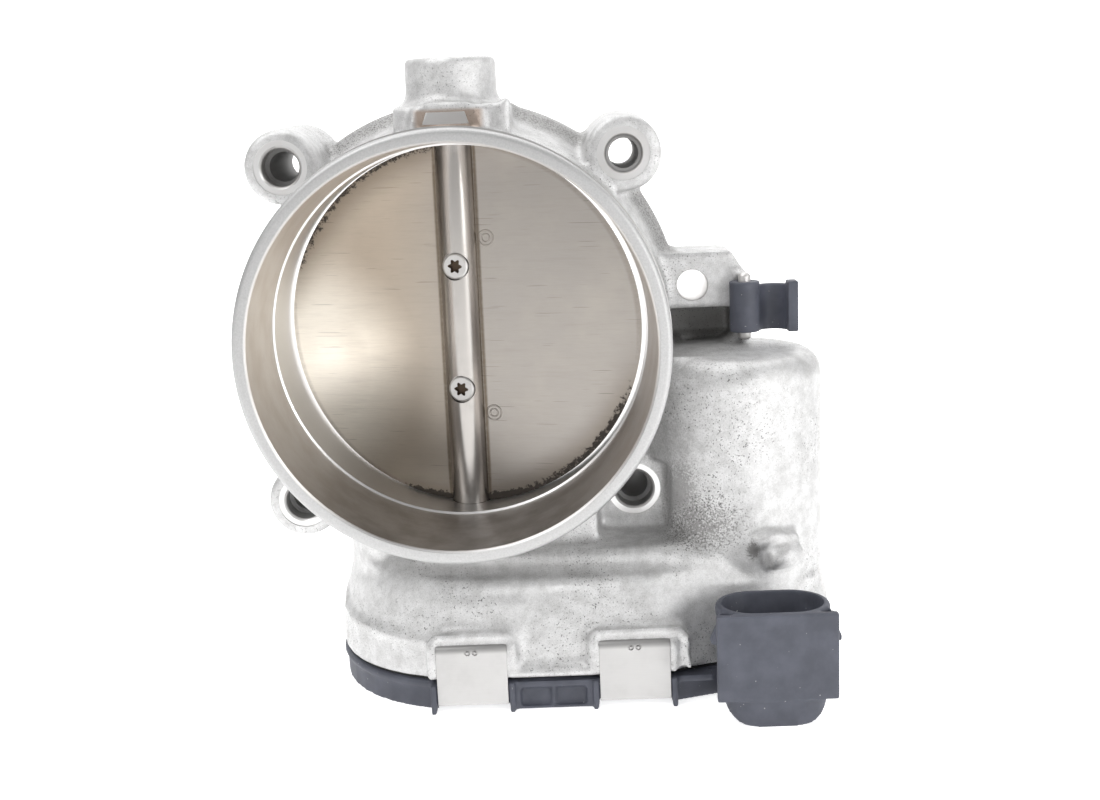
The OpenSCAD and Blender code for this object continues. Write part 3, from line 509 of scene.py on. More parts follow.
@dataclass
class Solid:
    """A closed surface in millimetres: points as an (n, 3) array and faces as tuples of indices."""

    points: np.ndarray
    faces: list[tuple[int, ...]]

    @staticmethod
    def turned(profile: Sequence[tuple], axis: Axis, centre: tuple = (0, 0, 0),
               steps: int = 48) -> "Solid":
        """A profile turned about an axis.

        The point at angle a is centre + radius * (cos a, sin a) across the axis + height along it.

        Args:
            profile: the closed outline, as (radius, height) pairs.
            axis: what it turns about.
            centre: a point on the axis, from which height counts.
            steps: how many sections go round.

        Returns:
            The solid.
        """
        radius, height = np.array(profile, float).T
        turn = np.linspace(0.0, 2 * np.pi, steps, endpoint=False)[:, None]
        across = [i for i in range(3) if i != axis.value]
        points = np.zeros((steps, len(radius), 3))
        points[..., across[0]] = radius * np.cos(turn)
        points[..., across[1]] = radius * np.sin(turn)
        points[..., axis.value] = height
        return Solid(points.reshape(-1, 3) + np.array(centre), ring_faces(steps, len(radius), True, True))

    @staticmethod
    def rod(radius: float, start: float, end: float, axis: Axis, centre: tuple = (0, 0, 0),
            steps: int = 48) -> "Solid":
        """A round rod from start to end along axis."""
        return Solid.turned([(0, start), (radius, start), (radius, end), (0, end)], axis, centre, steps)

    @staticmethod
    def box(low: tuple, high: tuple) -> "Solid":
        """A block between two corners."""
        x, y, z = np.array([low, high], float).T
        points = np.stack(np.meshgrid(x, y, z, indexing="ij"), axis=-1).reshape(-1, 3)
        sides = [(0, 1, 3, 2), (4, 6, 7, 5), (0, 4, 5, 1), (2, 3, 7, 6), (0, 2, 6, 4), (1, 5, 7, 3)]
        return Solid(points, sides)

    @staticmethod
    def swept(path: Sequence[tuple], radius: "float | Sequence[float]", sides: int = 12) -> "Solid":
        """A round bead along a path, closed at its ends.

        Each section is radius * (u cos a + w sin a), square to the path: u lies level and w = tangent x u.

        Args:
            path: the points that the bead follows.
            radius: one radius, or one for each point.
            sides: how many sides the section has.

        Returns:
            The solid.
        """
        line = np.array(path, float)
        radii = np.broadcast_to(np.array(radius, float), (len(line),))[:, None, None]
        along = np.gradient(line, axis=0)
        along /= np.linalg.norm(along, axis=1, keepdims=True)
        u = np.cross(along, (0.0, 0.0, 1.0))
        u = np.where(np.linalg.norm(u, axis=1, keepdims=True) < 1e-6, np.array((1.0, 0.0, 0.0)), u)
        u /= np.linalg.norm(u, axis=1, keepdims=True)
        w = np.cross(along, u)
        turn = np.linspace(0.0, 2 * np.pi, sides, endpoint=False)[None, :, None]
        points = line[:, None] + radii * (u[:, None] * np.cos(turn) + w[:, None] * np.sin(turn))
        faces = ring_faces(len(line), sides, False, True)
        faces += [tuple(range(sides))[::-1], tuple(range((len(line) - 1) * sides, len(line) * sides))]
        return Solid(points.reshape(-1, 3), faces)

    @staticmethod
    def drawn(outline: Sequence[tuple], start: float, end: float, axis: Axis,
              shrink: float = 1.0) -> "Solid":
        """A flat outline drawn out along an axis.

        Args:
            outline: its points across the axis, in order.
            start: where along the axis it begins.
            end: where it ends.
            axis: the way it is drawn.
            shrink: the far end's size beside the near end's, about the middle.

        Returns:
            The solid.
        """
        flat = np.array(outline, float)
        middle = flat.mean(axis=0)
        across = [i for i in range(3) if i != axis.value]
        points = np.zeros((2, len(flat), 3))
        points[0][:, across] = flat
        points[1][:, across] = middle + (flat - middle) * shrink
        points[0, :, axis.value] = start
        points[1, :, axis.value] = end
        count = len(flat)
        faces = ring_faces(2, count, False, True)
        faces += [tuple(range(count))[::-1], tuple(range(count, 2 * count))]
        return Solid(points.reshape(-1, 3), faces)


def ring_faces(rows: int, columns: int, close_rows: bool, close_columns: bool) -> list[tuple[int, ...]]:
    """Quads over a grid of points.

    Args:
        rows: how many rows the grid has.
        columns: how many points a row has.
        close_rows: whether the last row joins the first.
        close_columns: whether each row's last point joins its first.

    Returns:
        The quads, as indices of the points counted row by row.
    """
    row = np.arange(rows if close_rows else rows - 1)[:, None]
    column = np.arange(columns if close_columns else columns - 1)[None, :]
    next_row, next_column = (row + 1) % rows, (column + 1) % columns
    corners = (row * columns + column, next_row * columns + column,
               next_row * columns + next_column, row * columns + next_column)
    return [tuple(q) for q in np.stack(np.broadcast_arrays(*corners), axis=-1).reshape(-1, 4).tolist()]


def rounded(low: tuple, high: tuple, radius: float, steps: int = 6) -> list[tuple]:
    """A rectangle with round corners.

    Args:
        low: its corner with the smallest coordinates.
        high: the corner across from it.
        radius: the radius of its corners.
        steps: how many lines make each corner.

    Returns:
        The outline's points in order.
    """
    (x0, z0), (x1, z1) = low, high
    points = []
    for k, (cx, cz) in enumerate([(x1 - radius, z1 - radius), (x0 + radius, z1 - radius),
                                  (x0 + radius, z0 + radius), (x1 - radius, z0 + radius)]):
        turn = (np.arange(steps + 1) / steps + k) * np.pi / 2
        points += list(zip(cx + radius * np.cos(turn), cz + radius * np.sin(turn)))
    return points


def tidy_mesh(mesh: bpy.types.Mesh) -> None:
    """Merges doubled points and turns every face outwards."""
    work = bmesh.new()
    work.from_mesh(mesh)
    bmesh.ops.remove_doubles(work, verts=work.verts, dist=1e-6)
    bmesh.ops.dissolve_degenerate(work, edges=work.edges, dist=1e-7)
    bmesh.ops.recalc_face_normals(work, faces=work.faces)
    work.to_mesh(mesh)
    work.free()


def new_object(name: str, solids: Sequence[Solid], *materials: bpy.types.Material) -> bpy.types.Object:
    """Makes one mesh object from several solids.

    Args:
        name: the object's name.
        solids: what it is made of; they may overlap.
        materials: its finishes, the first for every face.

    Returns:
        The object, with its mesh in metres.
    """
    points, faces, count = [], [], 0
    for solid in solids:
        points.append(solid.points * MM)
        faces += [tuple(i + count for i in face) for face in solid.faces]
        count += len(solid.points)
    mesh = bpy.data.meshes.new(name)
    mesh.from_pydata(np.concatenate(points).tolist(), [], faces)
    tidy_mesh(mesh)
    for material in materials:
        mesh.materials.append(material)
    made = bpy.data.objects.new(name, mesh)
    bpy.context.scene.collection.objects.link(made)
    return made


def bake(target: bpy.types.Object, kind: str, **settings: object) -> None:
    """Runs one modifier and keeps its result as the mesh.

    Args:
        target: the object.
        kind: the modifier's type.
        settings: the modifier's properties.
    """
    modifier = target.modifiers.new(kind.lower(), kind)
    for key, value in settings.items():
        setattr(modifier, key, value)
    graph = bpy.context.evaluated_depsgraph_get()
    mesh = bpy.data.meshes.new_from_object(target.evaluated_get(graph), depsgraph=graph)
    target.modifiers.clear()
    old, target.data = target.data, mesh
    bpy.data.meshes.remove(old)


def merge(target: bpy.types.Object, mesh: bpy.types.Mesh) -> None:
    """Adds a copy of mesh, its doubled points merged, to target's mesh."""
    work = bmesh.new()
    work.from_mesh(target.data)
    work.from_mesh(mesh)
    bmesh.ops.remove_doubles(work, verts=work.verts, dist=1e-7)
    work.to_mesh(target.data)
    work.free()


def triangles(target: bpy.types.Object) -> int:
    """How many triangles target's faces make."""
    return sum(len(face.vertices) - 2 for face in target.data.polygons)


def thin(target: bpy.types.Object, most: int) -> None:
    """Thins target's mesh down to the given number of triangles, if it has more."""
    count = triangles(target)
    LOG.info("%s: %d triangles before thinning", target.name, count)
    if count > most:
        bake(target, "DECIMATE", decimate_type="COLLAPSE", ratio=most / count)


def finish_in(target: bpy.types.Object, material: bpy.types.Material) -> None:
    """Gives all of target one material."""
    target.data.materials.clear()
    target.data.materials.append(material)


def carve(target: bpy.types.Object, solids: Sequence[Solid], material: bpy.types.Material) -> None:
    """Cuts solids out of an object, one after another.

    Args:
        target: what is cut; its mesh is closed.
        solids: what is taken away.
        material: the finish of the cut faces.
    """
    for solid in solids:
        tool = new_object("tool", [solid], material)
        bake(target, "BOOLEAN", operation="DIFFERENCE", solver="MANIFOLD", object=tool,
             material_mode="TRANSFER")
        bpy.data.objects.remove(tool)


def crisp(target: bpy.types.Object, angle: float = 35.0) -> None:
    """Smooth shading that breaks at edges sharper than angle degrees."""
    target.data.polygons.foreach_set("use_smooth", np.ones(len(target.data.polygons), bool))
    target.data.set_sharp_from_angle(angle=math.radians(angle))


def place(piece: bpy.types.Object, body: str, slot: str, *nodes: str) -> bpy.types.Object:
    """Gives a finished piece its place in the frame.

    Args:
        piece: the piece.
        body: the body that it rides on.
        slot: a material slot's name; not used.
        nodes: the frame's nodes that it stands for.

    Returns:
        The piece.
    """
    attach(piece, body)
    if nodes:
        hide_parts(*nodes)
    LOG.info("%s: %d faces, on %s", piece.name, len(piece.data.polygons), body)
    return piece


# ---------------------------------------------------------------- the housing


@dataclass
class CastHousing:
    """The cast body: the frame's housing with soft cast edges, cast-on details and crisp machined faces.

    Heights along Y are measured from the mounting face, which is 25 mm behind the throttle shaft.
    """

    metal: bpy.types.Material
    turned: bpy.types.Material
    voxel: float = 0.7 * MM
    rounding: int = 6
    most_triangles: int = 185000
    gasket_stretch: float = 2.2
    bore_r: float = 41.0
    mouth_r: float = 42.0
    rim_r: float = 45.0
    neck_r: float = 44.2
    rim_y: float = -62.4
    step_y: float = -36.0
    seam_z: float = -72.5
    # Each lug: sides in X and Z, front face, whether it is counterbored
    lugs: tuple = ((-1, 1, -33.8, True), (1, 1, -29.2, False), (-1, -1, -34.8, True), (1, -1, -34.2, True))
    bracket_hole: tuple = (52.8, 6.6)

    def stock(self) -> list[Solid]:
        """Solids that fill the holes that are machined later."""
        rim, rear = self.rim_y - 0.9, 0.8
        inside, outside = self.bore_r - 1.2, self.bore_r + 1.8
        tube = [(inside, rim), (outside, rim), (outside, rear), (inside, rear)]
        inside, outside = self.neck_r - 1, self.rim_r + 1.1
        bead = [(inside, rim), (outside, rim), (outside, self.rim_y + 5.6), (inside, self.rim_y + 6.6)]
        fill = [Solid.turned(tube, Axis.Y, steps=160), Solid.turned(bead, Axis.Y, steps=160)]
        for side_x, side_z, front, _ in self.lugs:
            fill.append(Solid.rod(4.6, front + 0.1, rear, Axis.Y, (side_x * BOLT, 0, side_z * BOLT)))
        x, z = self.bracket_hole
        fill.append(Solid.rod(3.9, -19.8, -4.2, Axis.Y, (x, 0, z)))
        fill.append(Solid.box((-7.5, -38.0, 45.6), (6.0, -34.2, 48.6)))
        return fill

    def cast_details(self) -> list[Solid]:
        """Ridges, bosses and frames that were cast on, as rounded beads sunk into the surface."""
        lip = Solid.swept([(-29.6, -24.0, -58.5), (-29.7, -30.0, -60.4), (-29.2, -34.4, -62.9),
                           (-27.4, -39.2, -63.9), (-24.2, -43.9, -64.0), (-20.0, -48.5, -64.3),
                           (-15.0, -51.8, -64.6), (-9.6, -54.1, -64.4)],
                          (0.5, 0.9, 1.1, 1.1, 1.1, 1.1, 1.0, 0.8))
        frames = [self.clip_frame(0.3), self.clip_frame(35.5, 2.4)]
        sill = Solid.swept([(8.6, -57.6, -71.4), (26.8, -57.6, -71.4)], 1.1)
        step = Solid.drawn([(-52.0, -53.4), (-53.75, -54.6), (-54.75, -57.0), (-55.65, -61.8),
                            (-56.15, -64.4), (-50.0, -64.4), (-50.0, -53.4)], -2.0, 12.1, Axis.X)
        pad = Solid.drawn(rounded((42.6, -71.6), (46.6, -62.6), 1.3), -52.0, -57.3, Axis.Y, 0.97)
        roll = Solid.swept([(-22.0, -41.5, -54.6), (-12.0, -49.6, -53.8), (0.0, -52.3, -53.4),
                            (20.0, -52.5, -53.2), (40.0, -52.2, -53.2), (52.0, -49.0, -55.0)], 1.5)
        bump = [Solid.swept([(62.6, -48.0, -47.4), (66.0, -48.0, -45.8), (72.6, -45.2, -46.8)], 1.5),
                Solid.swept([(65.8, -48.6, -51.0), (69.4, -47.6, -50.2), (72.8, -45.6, -50.2)],
                            (2.5, 3.1, 2.6))]
        foot = Solid.swept([(49.5, -50.4, -55.2), (61.7, -47.0, -56.3), (70.0, -44.0, -57.4),
                            (76.2, -39.4, -58.4), (78.6, -33.5, -58.6)], 1.2)
        ridge = Solid.swept([(44.0, -37.2, -8.0), (47.2, -38.4, -7.6), (56.0, -38.2, -7.8)], 1.2)
        post = Solid.rod(1.0, 43, 50.6, Axis.Z, (12.4, -35.6, 0))
        brow = Solid.swept([(-8.0, -37.6, 44.6), (-6.6, -37.6, 48.6), (-5.0, -37.4, 49.4),
                            (4.0, -37.4, 49.4), (5.4, -37.6, 48.6), (6.8, -37.6, 44.6)], 1.0)
        return [lip, *frames, sill, step, pad, roll, *bump, foot, ridge, post, brow]

    @staticmethod
    def grooves() -> list[Solid]:
        """Hollows in the casting: the cove under the rim, the seam, a notch and the bracket's relief."""
        cove = Solid.swept([(-24.5, -43.5, -49.0), (-14.0, -49.8, -48.8), (0.0, -52.4, -48.6),
                            (20.0, -52.9, -48.6), (40.0, -52.8, -48.9), (52.0, -51.0, -50.5)],
                           (2.2, 2.8, 3.0, 3.0, 2.8, 1.6))
        line = Solid.swept([(14.0, -50.3, -50.6), (30.0, -50.5, -50.6), (44.0, -50.2, -50.9)], 0.5)
        notch = Solid.swept([(62.4, -49.5, -46.6), (62.6, -49.0, -52.0)], 1.3)
        relief = Solid.box((46.5, -22.0, -6.4), (62.4, -8.0, 1.2))
        return [cove, line, notch, relief]

    @staticmethod
    def clip_frame(x: float, wide: float = 0.0) -> Solid:
        """A raised frame round the top of one clip's seat.

        Args:
            x: the middle of the clip.
            wide: how much further the frame reaches on its right.

        Returns:
            The bead.
        """
        left, right = x - 9.2, x + 9.2 + wide
        return Solid.swept([(left, -57.6, -71.6), (left, -57.3, -64.2), (left + 1.0, -56.9, -63.0),
                            (right - 1.4, -56.9, -63.0), (right, -57.3, -64.4), (right, -57.6, -71.6)], 0.95)

    def machining(self) -> list[Solid]:
        """Everything that the cutters take away after casting."""
        edge, y = 1.1, self.rim_y
        turn = np.linspace(-np.pi / 2, 0.0, 7)
        nose = list(zip(self.rim_r - edge + edge * np.cos(turn), y + edge + edge * np.sin(turn)))
        outside = [(self.bore_r - 2, y - 2), (self.bore_r - 2, y), *nose, (self.rim_r, y + 5),
                   (self.neck_r, y + 5.9), (47.5, y + 5.9), (47.5, y - 2)]
        bore = [(0, y - 2), (self.mouth_r + 1.9, y - 1.4), (self.mouth_r, y + 0.5),
                (self.bore_r + 0.42, self.step_y - 0.25), (self.bore_r, self.step_y),
                (self.bore_r, -0.8), (self.bore_r + 1.8, 1), (0, 1)]
        cuts = [Solid.turned(outside, Axis.Y, steps=256), Solid.turned(bore, Axis.Y, steps=256)]
        cuts.append(Solid.box((-70, -0.12, -90), (100, 5, 90)))
        cuts.append(Solid.box((-60, -70, self.seam_z - 4), (100, 5, self.seam_z)))
        for side_x, side_z, front, deep in self.lugs:
            step = 5.0 if deep else 0.6
            wide = 4.2 if deep else 3.9
            profile = [(0, front - 1), (5.9, front - 1), (5.9, front + 0.3), (wide + 0.5, front + 0.3),
                       (wide, front + 0.8), (wide, front + step), (3.3, front + step + 0.35), (3.3, 1),
                       (0, 1)]
            cuts.append(Solid.turned(profile, Axis.Y, (side_x * BOLT, 0, side_z * BOLT), 64))
        x, z = self.bracket_hole
        clip_hole = [(0, -21), (4.2, -21), (3.5, -19.6), (3.5, 1), (0, 1)]
        cuts.append(Solid.turned(clip_hole, Axis.Y, (x, 0, z), 64))
        cuts.append(Solid.rod(4.65, -43.5, 43.5, Axis.Z, (0, SHAFT_Y, 0)))
        pocket = [(-6.6, 45.2), (5.2, 45.2), (4.2, 48.2), (-5.4, 48.2)]
        cuts.append(Solid.drawn(pocket, -40.5, -37.4, Axis.Y, 0.82))
        return cuts

    def build(self, source: bpy.types.Object, gasket: bpy.types.Object) -> bpy.types.Object:
        """Makes the housing.

        Args:
            source: the frame's housing, which the piece replaces.
            gasket: the frame's gasket; a taller copy of it closes the groove that it lies in.

        Returns:
            The piece.
        """
        body = new_object("cast_body", [*self.stock(), *self.cast_details()])
        merge(body, source.data)
        low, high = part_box(gasket.name)
        middle = Matrix.Translation((low + high) / 2)
        filler = gasket.data.copy()
        filler.transform(middle @ Matrix.Diagonal((1, 1, self.gasket_stretch, 1)) @ middle.inverted())
        merge(body, filler)
        bake(body, "REMESH", mode="VOXEL", voxel_size=self.voxel)
        carve(body, self.grooves(), self.metal)
        bake(body, "REMESH", mode="VOXEL", voxel_size=self.voxel)
        bake(body, "SMOOTH", factor=0.5, iterations=self.rounding)
        thin(body, self.most_triangles)
        finish_in(body, self.metal)
        carve(body, self.machining(), self.turned)
        crisp(body)
        return place(body, "root", "cast_aluminium", "throttle_housing")


# ---------------------------------------------------------------- smaller parts


@dataclass
class SpringClips:
    """The two sheet clips that hold the cover on: bent strips with rounded bends and pressed dimples."""

    metal: bpy.types.Material
    centres: tuple = (0.3, 35.5)
    width: float = 15.3
    thick: float = 0.7
    front: float = -58.32
    top: float = -64.7
    bottom: float = -78.4
    hook: float = 2.3
    bend: float = 1.0

    def outline(self) -> list[tuple]:
        """The strip seen from its side, as (y, z): outer face down, then inner face up."""

        def side(offset: float) -> list[tuple]:
            """One face of the strip, offset inwards, with quarter-round bends."""
            front, top, low = self.front + offset, self.top - offset, self.bottom + offset
            r = self.bend - offset * 0.8
            turn = np.linspace(0, np.pi / 2, 7)
            back = self.front + self.hook
            high = [(front + r - r * np.sin(a), top - r + r * np.cos(a)) for a in turn]
            deep = [(front + r - r * np.cos(a), low + r - r * np.sin(a)) for a in turn]
            return [(back, top), *high, *deep, (back, low)]

        return side(0.0) + side(self.thick)[::-1]

    def build(self) -> bpy.types.Object:
        """Makes both clips as one piece."""
        half = self.width / 2
        strips = [Solid.drawn(self.outline(), x - half, x + half, Axis.X) for x in self.centres]
        clips = new_object("spring_clips", strips, self.metal)
        bake(clips, "BEVEL", width=0.12 * MM, segments=2, limit_method="ANGLE",
             angle_limit=math.radians(60))
        start, end = self.front - 1, self.front + 0.4
        ring = [(0.28, start), (0.62, start), (0.62, end), (0.28, end)]
        dimples = [Solid.turned(ring, Axis.Y, (x + s * 0.8, 0, self.top - 1.5), 20)
                   for x in self.centres for s in (-1, 1)]
        carve(clips, dimples, self.metal)
        crisp(clips, 30)
        return place(clips, "root", "stainless", "cover_clips")


@dataclass
class Cover:
    """The moulded cover and its connector, with soft edges, ribs, panels and the plug's lip."""

    plastic: bpy.types.Material
    socket: tuple = (64.516, -62.618)
    width: float = 23.6
    depth: float = 15.6
    top: float = -55.4
    floor: float = -71.9
    wall: float = 1.5
    voxel: float = 0.40 * MM
    rounding: int = 3
    most_triangles: int = 160000
    # Ribs on the front wall, each between two corners
    ribs: tuple = (((8.9, -57.3, -75.0), (26.6, -55.6, -73.5)), ((8.9, -57.3, -79.9), (26.6, -55.6, -79.2)),
                   ((9.3, -57.4, -79.9), (10.6, -55.6, -73.5)), ((24.9, -57.4, -79.9), (26.2, -55.6, -73.5)),
                   ((44.6, -57.0, -75.0), (52.5, -53.6, -73.6)), ((17.3, -56.9, -79.9), (18.1, -55.6, -73.5)))

    def oval(self, inset: float) -> list[tuple]:
        """The socket's outline, drawn in by inset."""
        x, y = self.socket
        r = self.depth / 2 - inset
        half = (self.width - self.depth) / 2
        turn = np.linspace(-np.pi / 2, np.pi / 2, 17)
        right = [(x + half + r * math.cos(a), y + r * math.sin(a)) for a in turn]
        left = [(x - half - r * math.cos(a), y - r * math.sin(a)) for a in turn]
        return right + left

    def details(self) -> list[Solid]:
        """The ribs, gussets and keys beside the socket, the lip round its mouth and the hem at the left."""
        x, y = self.socket
        front = y - self.depth / 2
        parts = [Solid.box(low, high) for low, high in self.ribs]
        for s in (-1, 1):
            gusset = [(x + s * 11.6, front + 0.2), (x + s * 12.5, front + 0.2), (x + s * 12.5, front + 1.6),
                      (x + s * 11.4, front + 4.4)]
            parts.append(Solid.drawn(gusset, -74.0, self.top - 0.4, Axis.Z))
        for s in (-1, 1):
            low = (x + s * 8.4 - 0.5, front + 13.6, -75.0)
            high = (x + s * 8.4 + 0.5, front + 16.2, self.top - 3.0)
            parts.append(Solid.box(low, high))
        parts.append(Solid.drawn(self.oval(-0.25), self.top - 2.2, self.top - 0.5, Axis.Z))
        hem_r = 31.0
        turn = np.radians(np.linspace(176, 262, 16))
        hem = [(hem_r * math.cos(a), SHAFT_Y + hem_r * math.sin(a), -74.2) for a in turn]
        parts.append(Solid.swept(hem, 0.85))
        return parts

    def build(self, source: bpy.types.Object) -> bpy.types.Object:
        """Makes the cover from source, the frame's own, and returns the piece."""
        cover = new_object("cover_moulding", self.details())
        merge(cover, source.data)
        bake(cover, "REMESH", mode="VOXEL", voxel_size=self.voxel)
        bake(cover, "SMOOTH", factor=0.5, iterations=self.rounding)
        thin(cover, self.most_triangles)
        finish_in(cover, self.plastic)
        well = Solid.drawn(self.oval(self.wall), self.floor, self.top + 1, Axis.Z)
        mouth = Solid.drawn(self.oval(self.wall + 0.3), self.top - 1.6, self.top + 0.6, Axis.Z, 1.11)
        carve(cover, [well, mouth], self.plastic)
        crisp(cover, 40)
        return place(cover, "root", "black_plastic", "gear_cover")


@dataclass
class CableClip:
    """The swinging clip, moulded with soft edges, and the round-ended pin that it turns on."""

    plastic: bpy.types.Material
    steel: bpy.types.Material
    pin: tuple = (64.3, -23.8, 1.8)
    pin_r: float = 1.4
    pin_half: float = 7.75
    voxel: float = 0.2 * MM
    rounding: int = 5

    def build(self, source: bpy.types.Object) -> None:
        """Makes the clip from source, the frame's own, and the pin."""
        clip = bpy.data.objects.new("cable_clip_moulding", source.data.copy())
        bpy.context.scene.collection.objects.link(clip)
        tidy_mesh(clip.data)
        bake(clip, "REMESH", mode="VOXEL", voxel_size=self.voxel)
        bake(clip, "SMOOTH", factor=0.5, iterations=self.rounding)
        finish_in(clip, self.plastic)
        crisp(clip, 60)
        place(clip, "cable_clip", "black_plastic", "cable_clip")
        turn = np.linspace(0, np.pi / 2, 8)
        r, half = self.pin_r, self.pin_half
        cap = [(r * math.sin(a), half - 0.9 + 0.9 * math.cos(a)) for a in turn]
        profile = [(0, -half), *[(a, -b) for a, b in cap[1:]], *cap[:0:-1], (0, half)]
        pin = new_object("clip_pin", [Solid.turned(profile, Axis.Z, self.pin, 40)], self.steel)
        crisp(pin, 50)
        place(pin, "root", "zinc_steel", "cable_clip_pin")


def turn_with_plate(piece: bpy.types.Object) -> None:
    """Moves a piece made about the origin, square to the bore, to the plate's place and angle at rest."""
    turned = Matrix.Rotation(-PLATE_TURN, 4, "Z")
    piece.data.transform(Matrix.Translation((0, SHAFT_Y * MM, 0)) @ turned)


@dataclass
class PlateScrews:
    """The two countersunk screws that hold the plate in the shaft, each with a six-lobed recess."""

    zinc: bpy.types.Material
    # The finish of the lobed recesses' faces: a dark brown
    recess_tone: bpy.types.Material
    heights: tuple = (14.0, -14.0)
    lobe_middle: float = 1.42
    lobe_swing: float = 0.30

    def build(self) -> bpy.types.Object:
        """Makes both screws as one piece; a recess's radius swings six times round as a cosine."""
        head = [(0, -4.12), (2.55, -4.12), (2.93, -3.9), (2.93, -2.85), (1.75, -2.82), (1.75, 4.2), (0, 4.2)]
        turned = [Solid.turned(head, Axis.Y, (0, 0, z), 64) for z in self.heights]
        screws = new_object("countersunk_screws", turned, self.zinc)
        turn = np.linspace(0, 2 * np.pi, 72, endpoint=False)
        lobes = self.lobe_middle + self.lobe_swing * np.cos(6 * turn + 0.4)
        across, up = lobes * np.cos(turn), lobes * np.sin(turn)
        stars = [Solid.drawn(list(zip(across, z + up)), -5.0, -2.9, Axis.Y, 0.92) for z in self.heights]
        carve(screws, stars, self.recess_tone)
        turn_with_plate(screws)
        crisp(screws, 30)
        return place(screws, "throttle", "zinc_steel", "plate_screws")


@dataclass
class PlateMarks:
    """Two small rings pressed into the throttle plate beside the shaft."""

    metal: bpy.types.Material
    across: float = 6.6
    heights: tuple = (20.0, -20.0)
    radius: float = 1.72
    wire: float = 0.17

    def build(self) -> bpy.types.Object:
        """Makes the rings, half sunk in the plate's front face."""
        turn = np.linspace(0, 2 * np.pi, 12, endpoint=False)
        rings = []
        for radius in (self.radius, self.radius * 0.52):
            section = [(radius + self.wire * math.cos(a), self.wire * math.sin(a)) for a in turn]
            rings += [Solid.turned(section, Axis.Y, (self.across, -1.0, z), 40) for z in self.heights]
        marks = new_object("plate_marks", rings, self.metal)
        turn_with_plate(marks)
        crisp(marks, 80)
        return place(marks, "throttle", "plate_metal")


# ---------------------------------------------------------------- the stage


@dataclass(frozen=True)
class Studio:
    """A white sweep, soft boxes, and the camera at its place before the inlet."""

    shaft_ahead: float = 25.0 * MM
    azimuth: float = math.radians(0.785)
    elevation: float = math.radians(11.56)
    roll: float = math.radians(2.334)
    distance: float = 331.06 * MM
    aside: float = 19.76 * MM
    below: float = 17.0 * MM
    lens: float = 47.45

    def camera(self) -> None:
        """Places the camera by its angles about the point where the shaft crosses the bore."""
        a, e, r = self.azimuth, self.elevation, self.roll
        back = Vector((math.sin(a) * math.cos(e), -math.cos(a) * math.cos(e), math.sin(e)))
        level = Vector((math.cos(a), math.sin(a), 0.0))
        steep = back.cross(level)
        right = level * math.cos(r) - steep * math.sin(r)
        up = level * math.sin(r) + steep * math.cos(r)
        data = bpy.data.cameras.new("camera")
        data.lens = self.lens
        data.clip_start = 0.01
        camera = bpy.data.objects.new("camera", data)
        aim = Vector((0.0, -self.shaft_ahead, 0.0))
        eye = aim + right * self.aside - up * self.below + back * self.distance
        turn = Matrix((right, up, back)).transposed().to_4x4()
        camera.matrix_world = Matrix.Translation(eye) @ turn
        bpy.context.scene.collection.objects.link(camera)
        bpy.context.scene.camera = camera

    def floor(self, height: float) -> None:
        """A pale floor at the given height that sweeps up behind the object."""
        across = np.linspace(-2.0, 2.0, 3)
        bend = np.linspace(0.0, math.pi / 2, 24)
        run = np.concatenate([[-2.0, 0.2], 0.5 + 0.5 * np.sin(bend), [1.0]])
        rise = np.concatenate([[0.0, 0.0], 0.5 - 0.5 * np.cos(bend), [2.5]]) + height
        points = np.array([(x, y, z) for x in across for y, z in zip(run, rise)])
        rows = len(run)
        faces = [(i * rows + k, (i + 1) * rows + k, (i + 1) * rows + k + 1, i * rows + k + 1)
                 for i in range(len(across) - 1) for k in range(rows - 1)]
        mesh = bpy.data.meshes.new("floor")
        mesh.from_pydata(points.tolist(), [], faces)
        for polygon in mesh.polygons:
            polygon.use_smooth = True
        floor = bpy.data.objects.new("floor", mesh)
        bpy.context.scene.collection.objects.link(floor)
        t = NodeTree("floor_paper")
        t.set(Base_Color=grey(0.90), Roughness=0.9, Emission_Color=(1.0, 1.0, 1.0), Emission_Strength=0.75)
        mesh.materials.append(t.material)
        floor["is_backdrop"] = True

    def light(self, name: str, place: tuple, target: tuple, size: tuple, power: float) -> None:
        """Adds one soft box.

        Args:
            name: the light's name.
            place: where it hangs.
            target: the point that it faces.
            size: its width and height.
            power: its power in watts.
        """
        data = bpy.data.lights.new(name, "AREA")
        data.shape = "RECTANGLE"
        data.size, data.size_y = size
        data.energy = power
        light = bpy.data.objects.new(name, data)
        light.location = place
        light.rotation_mode = "QUATERNION"
        light.rotation_quaternion = (Vector(target) - Vector(place)).to_track_quat("-Z", "Y")
        bpy.context.scene.collection.objects.link(light)

    def build(self, height: float) -> None:
        """Sets up the floor at height, the world, the lights and the camera."""
        self.camera()
        self.floor(height)
        middle = (0.02, -0.03, 0.0)
        self.light("key_box", (-0.45, -0.45, 0.70), middle, (0.6, 0.6), 3.8)
        self.light("fill_box", (0.75, -0.35, 0.35), middle, (0.4, 0.6), 2.0)
        self.light("top_box", (0.0, 0.10, 0.85), middle, (0.8, 0.6), 2.9)
        self.light("low_box", (0.36, -0.50, 0.075), (-0.03, -0.02, -0.02), (0.14, 0.14), 0.55)
        world = bpy.data.worlds.new("studio")
        bpy.context.scene.world = world
        world.use_nodes = True
        background = world.node_tree.nodes["Background"]
        background.inputs["Color"].default_value = (1.0, 1.0, 1.0, 1.0)
        background.inputs["Strength"].default_value = 0.32
        bpy.context.scene.view_settings.view_transform = "Standard"


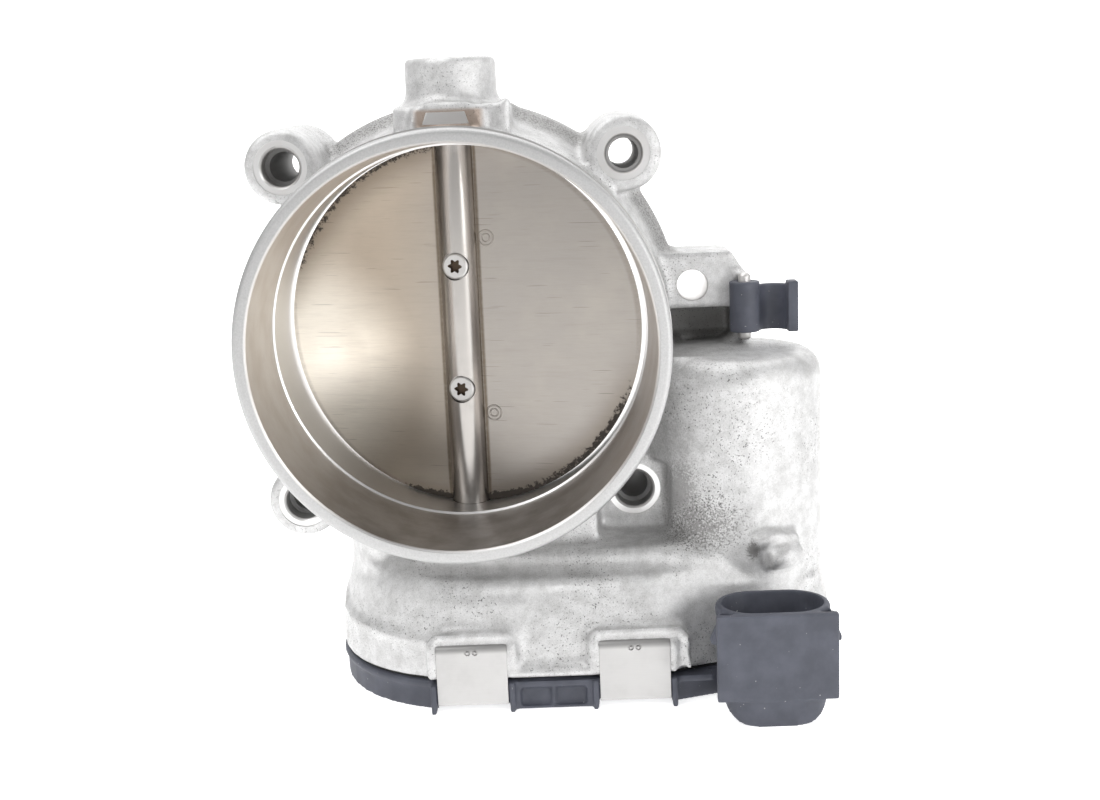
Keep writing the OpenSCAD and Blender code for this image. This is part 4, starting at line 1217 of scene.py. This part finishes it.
FINISHES: dict[str, Callable[[], bpy.types.Material]] = {
    "cast_aluminium": CastMetal().make,
    "bright_steel": PlainMetal("bright_steel", grey(0.42, 0.05), 0.13).make,
    "plate_metal": SootedPlate().make,
    "zinc_steel": PlainMetal("zinc_steel", grey(0.62, 0.02), 0.34).make,
    # The clips take painted shade over their rounded top bend
    "stainless": PlainMetal("stainless", grey(0.60, 0.012), 0.46, (0.03, 1.0, 1.0), bend=(-66.6, -65.6)).make,
    "spring_steel": PlainMetal("spring_steel", grey(0.30), 0.4).make,
    "magnet": PlainMetal("magnet", grey(0.08), 0.55).make,
    "brass": PlainMetal("brass", (0.70, 0.52, 0.24), 0.3).make,
    "copper_winding": PlainMetal("copper_winding", (0.60, 0.30, 0.16), 0.4, (1.0, 1.0, 0.2)).make,
    "gold_plate": PlainMetal("gold_plate", (0.83, 0.62, 0.25), 0.25).make,
    "black_plastic": Moulded("black_plastic", (0.056, 0.060, 0.078), 0.50, 0.04, 0.5).make,
    "gear_plastic": Moulded("gear_plastic", (0.70, 0.66, 0.55), 0.42).make,
    "seal_rubber": Moulded("seal_rubber", (0.012, 0.012, 0.012), 0.6).make,
    "board_green": Moulded("board_green", (0.02, 0.12, 0.05), 0.3).make,
}


def dress_nodes(frame: dict) -> dict[str, bpy.types.Material]:
    """Gives every CAD node the finish that its record slot names, and returns the finishes by slot."""
    slots = {entry["node"]: entry["material_slot"] for entry in frame["record"]["subparts"]}
    made = {slot: FINISHES[slot]() for slot in sorted(set(slots.values()))}
    for name, node in frame["nodes"].items():
        node.data.materials.clear()
        node.data.materials.append(made[slots[name]])
        LOG.info("dressed %s in %s", name, slots[name])
    return made


def main() -> None:
    """Builds the pieces and the stage around the frame."""
    logging.basicConfig(level=logging.INFO, format="%(message)s")
    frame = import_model()
    cad_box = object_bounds()
    dressed = dress_nodes(frame)
    nodes = frame["nodes"]
    turned = TurnedMetal().make()
    CastHousing(dressed["cast_aluminium"], turned).build(nodes["throttle_housing"], nodes["cover_gasket"])
    SpringClips(dressed["stainless"]).build()
    Cover(dressed["black_plastic"]).build(nodes["gear_cover"])
    CableClip(dressed["black_plastic"], dressed["zinc_steel"]).build(nodes["cable_clip"])
    PlateMarks(dressed["plate_metal"]).build()
    # A dark brown for the faces of the screws' lobed recesses
    recess_tone = PlainMetal("recess_dark", (0.16, 0.12, 0.09), 0.6).make()
    PlateScrews(dressed["zinc_steel"], recess_tone).build()
    Studio().build(cad_box[0].z)


if __name__ == "__main__":
    main()
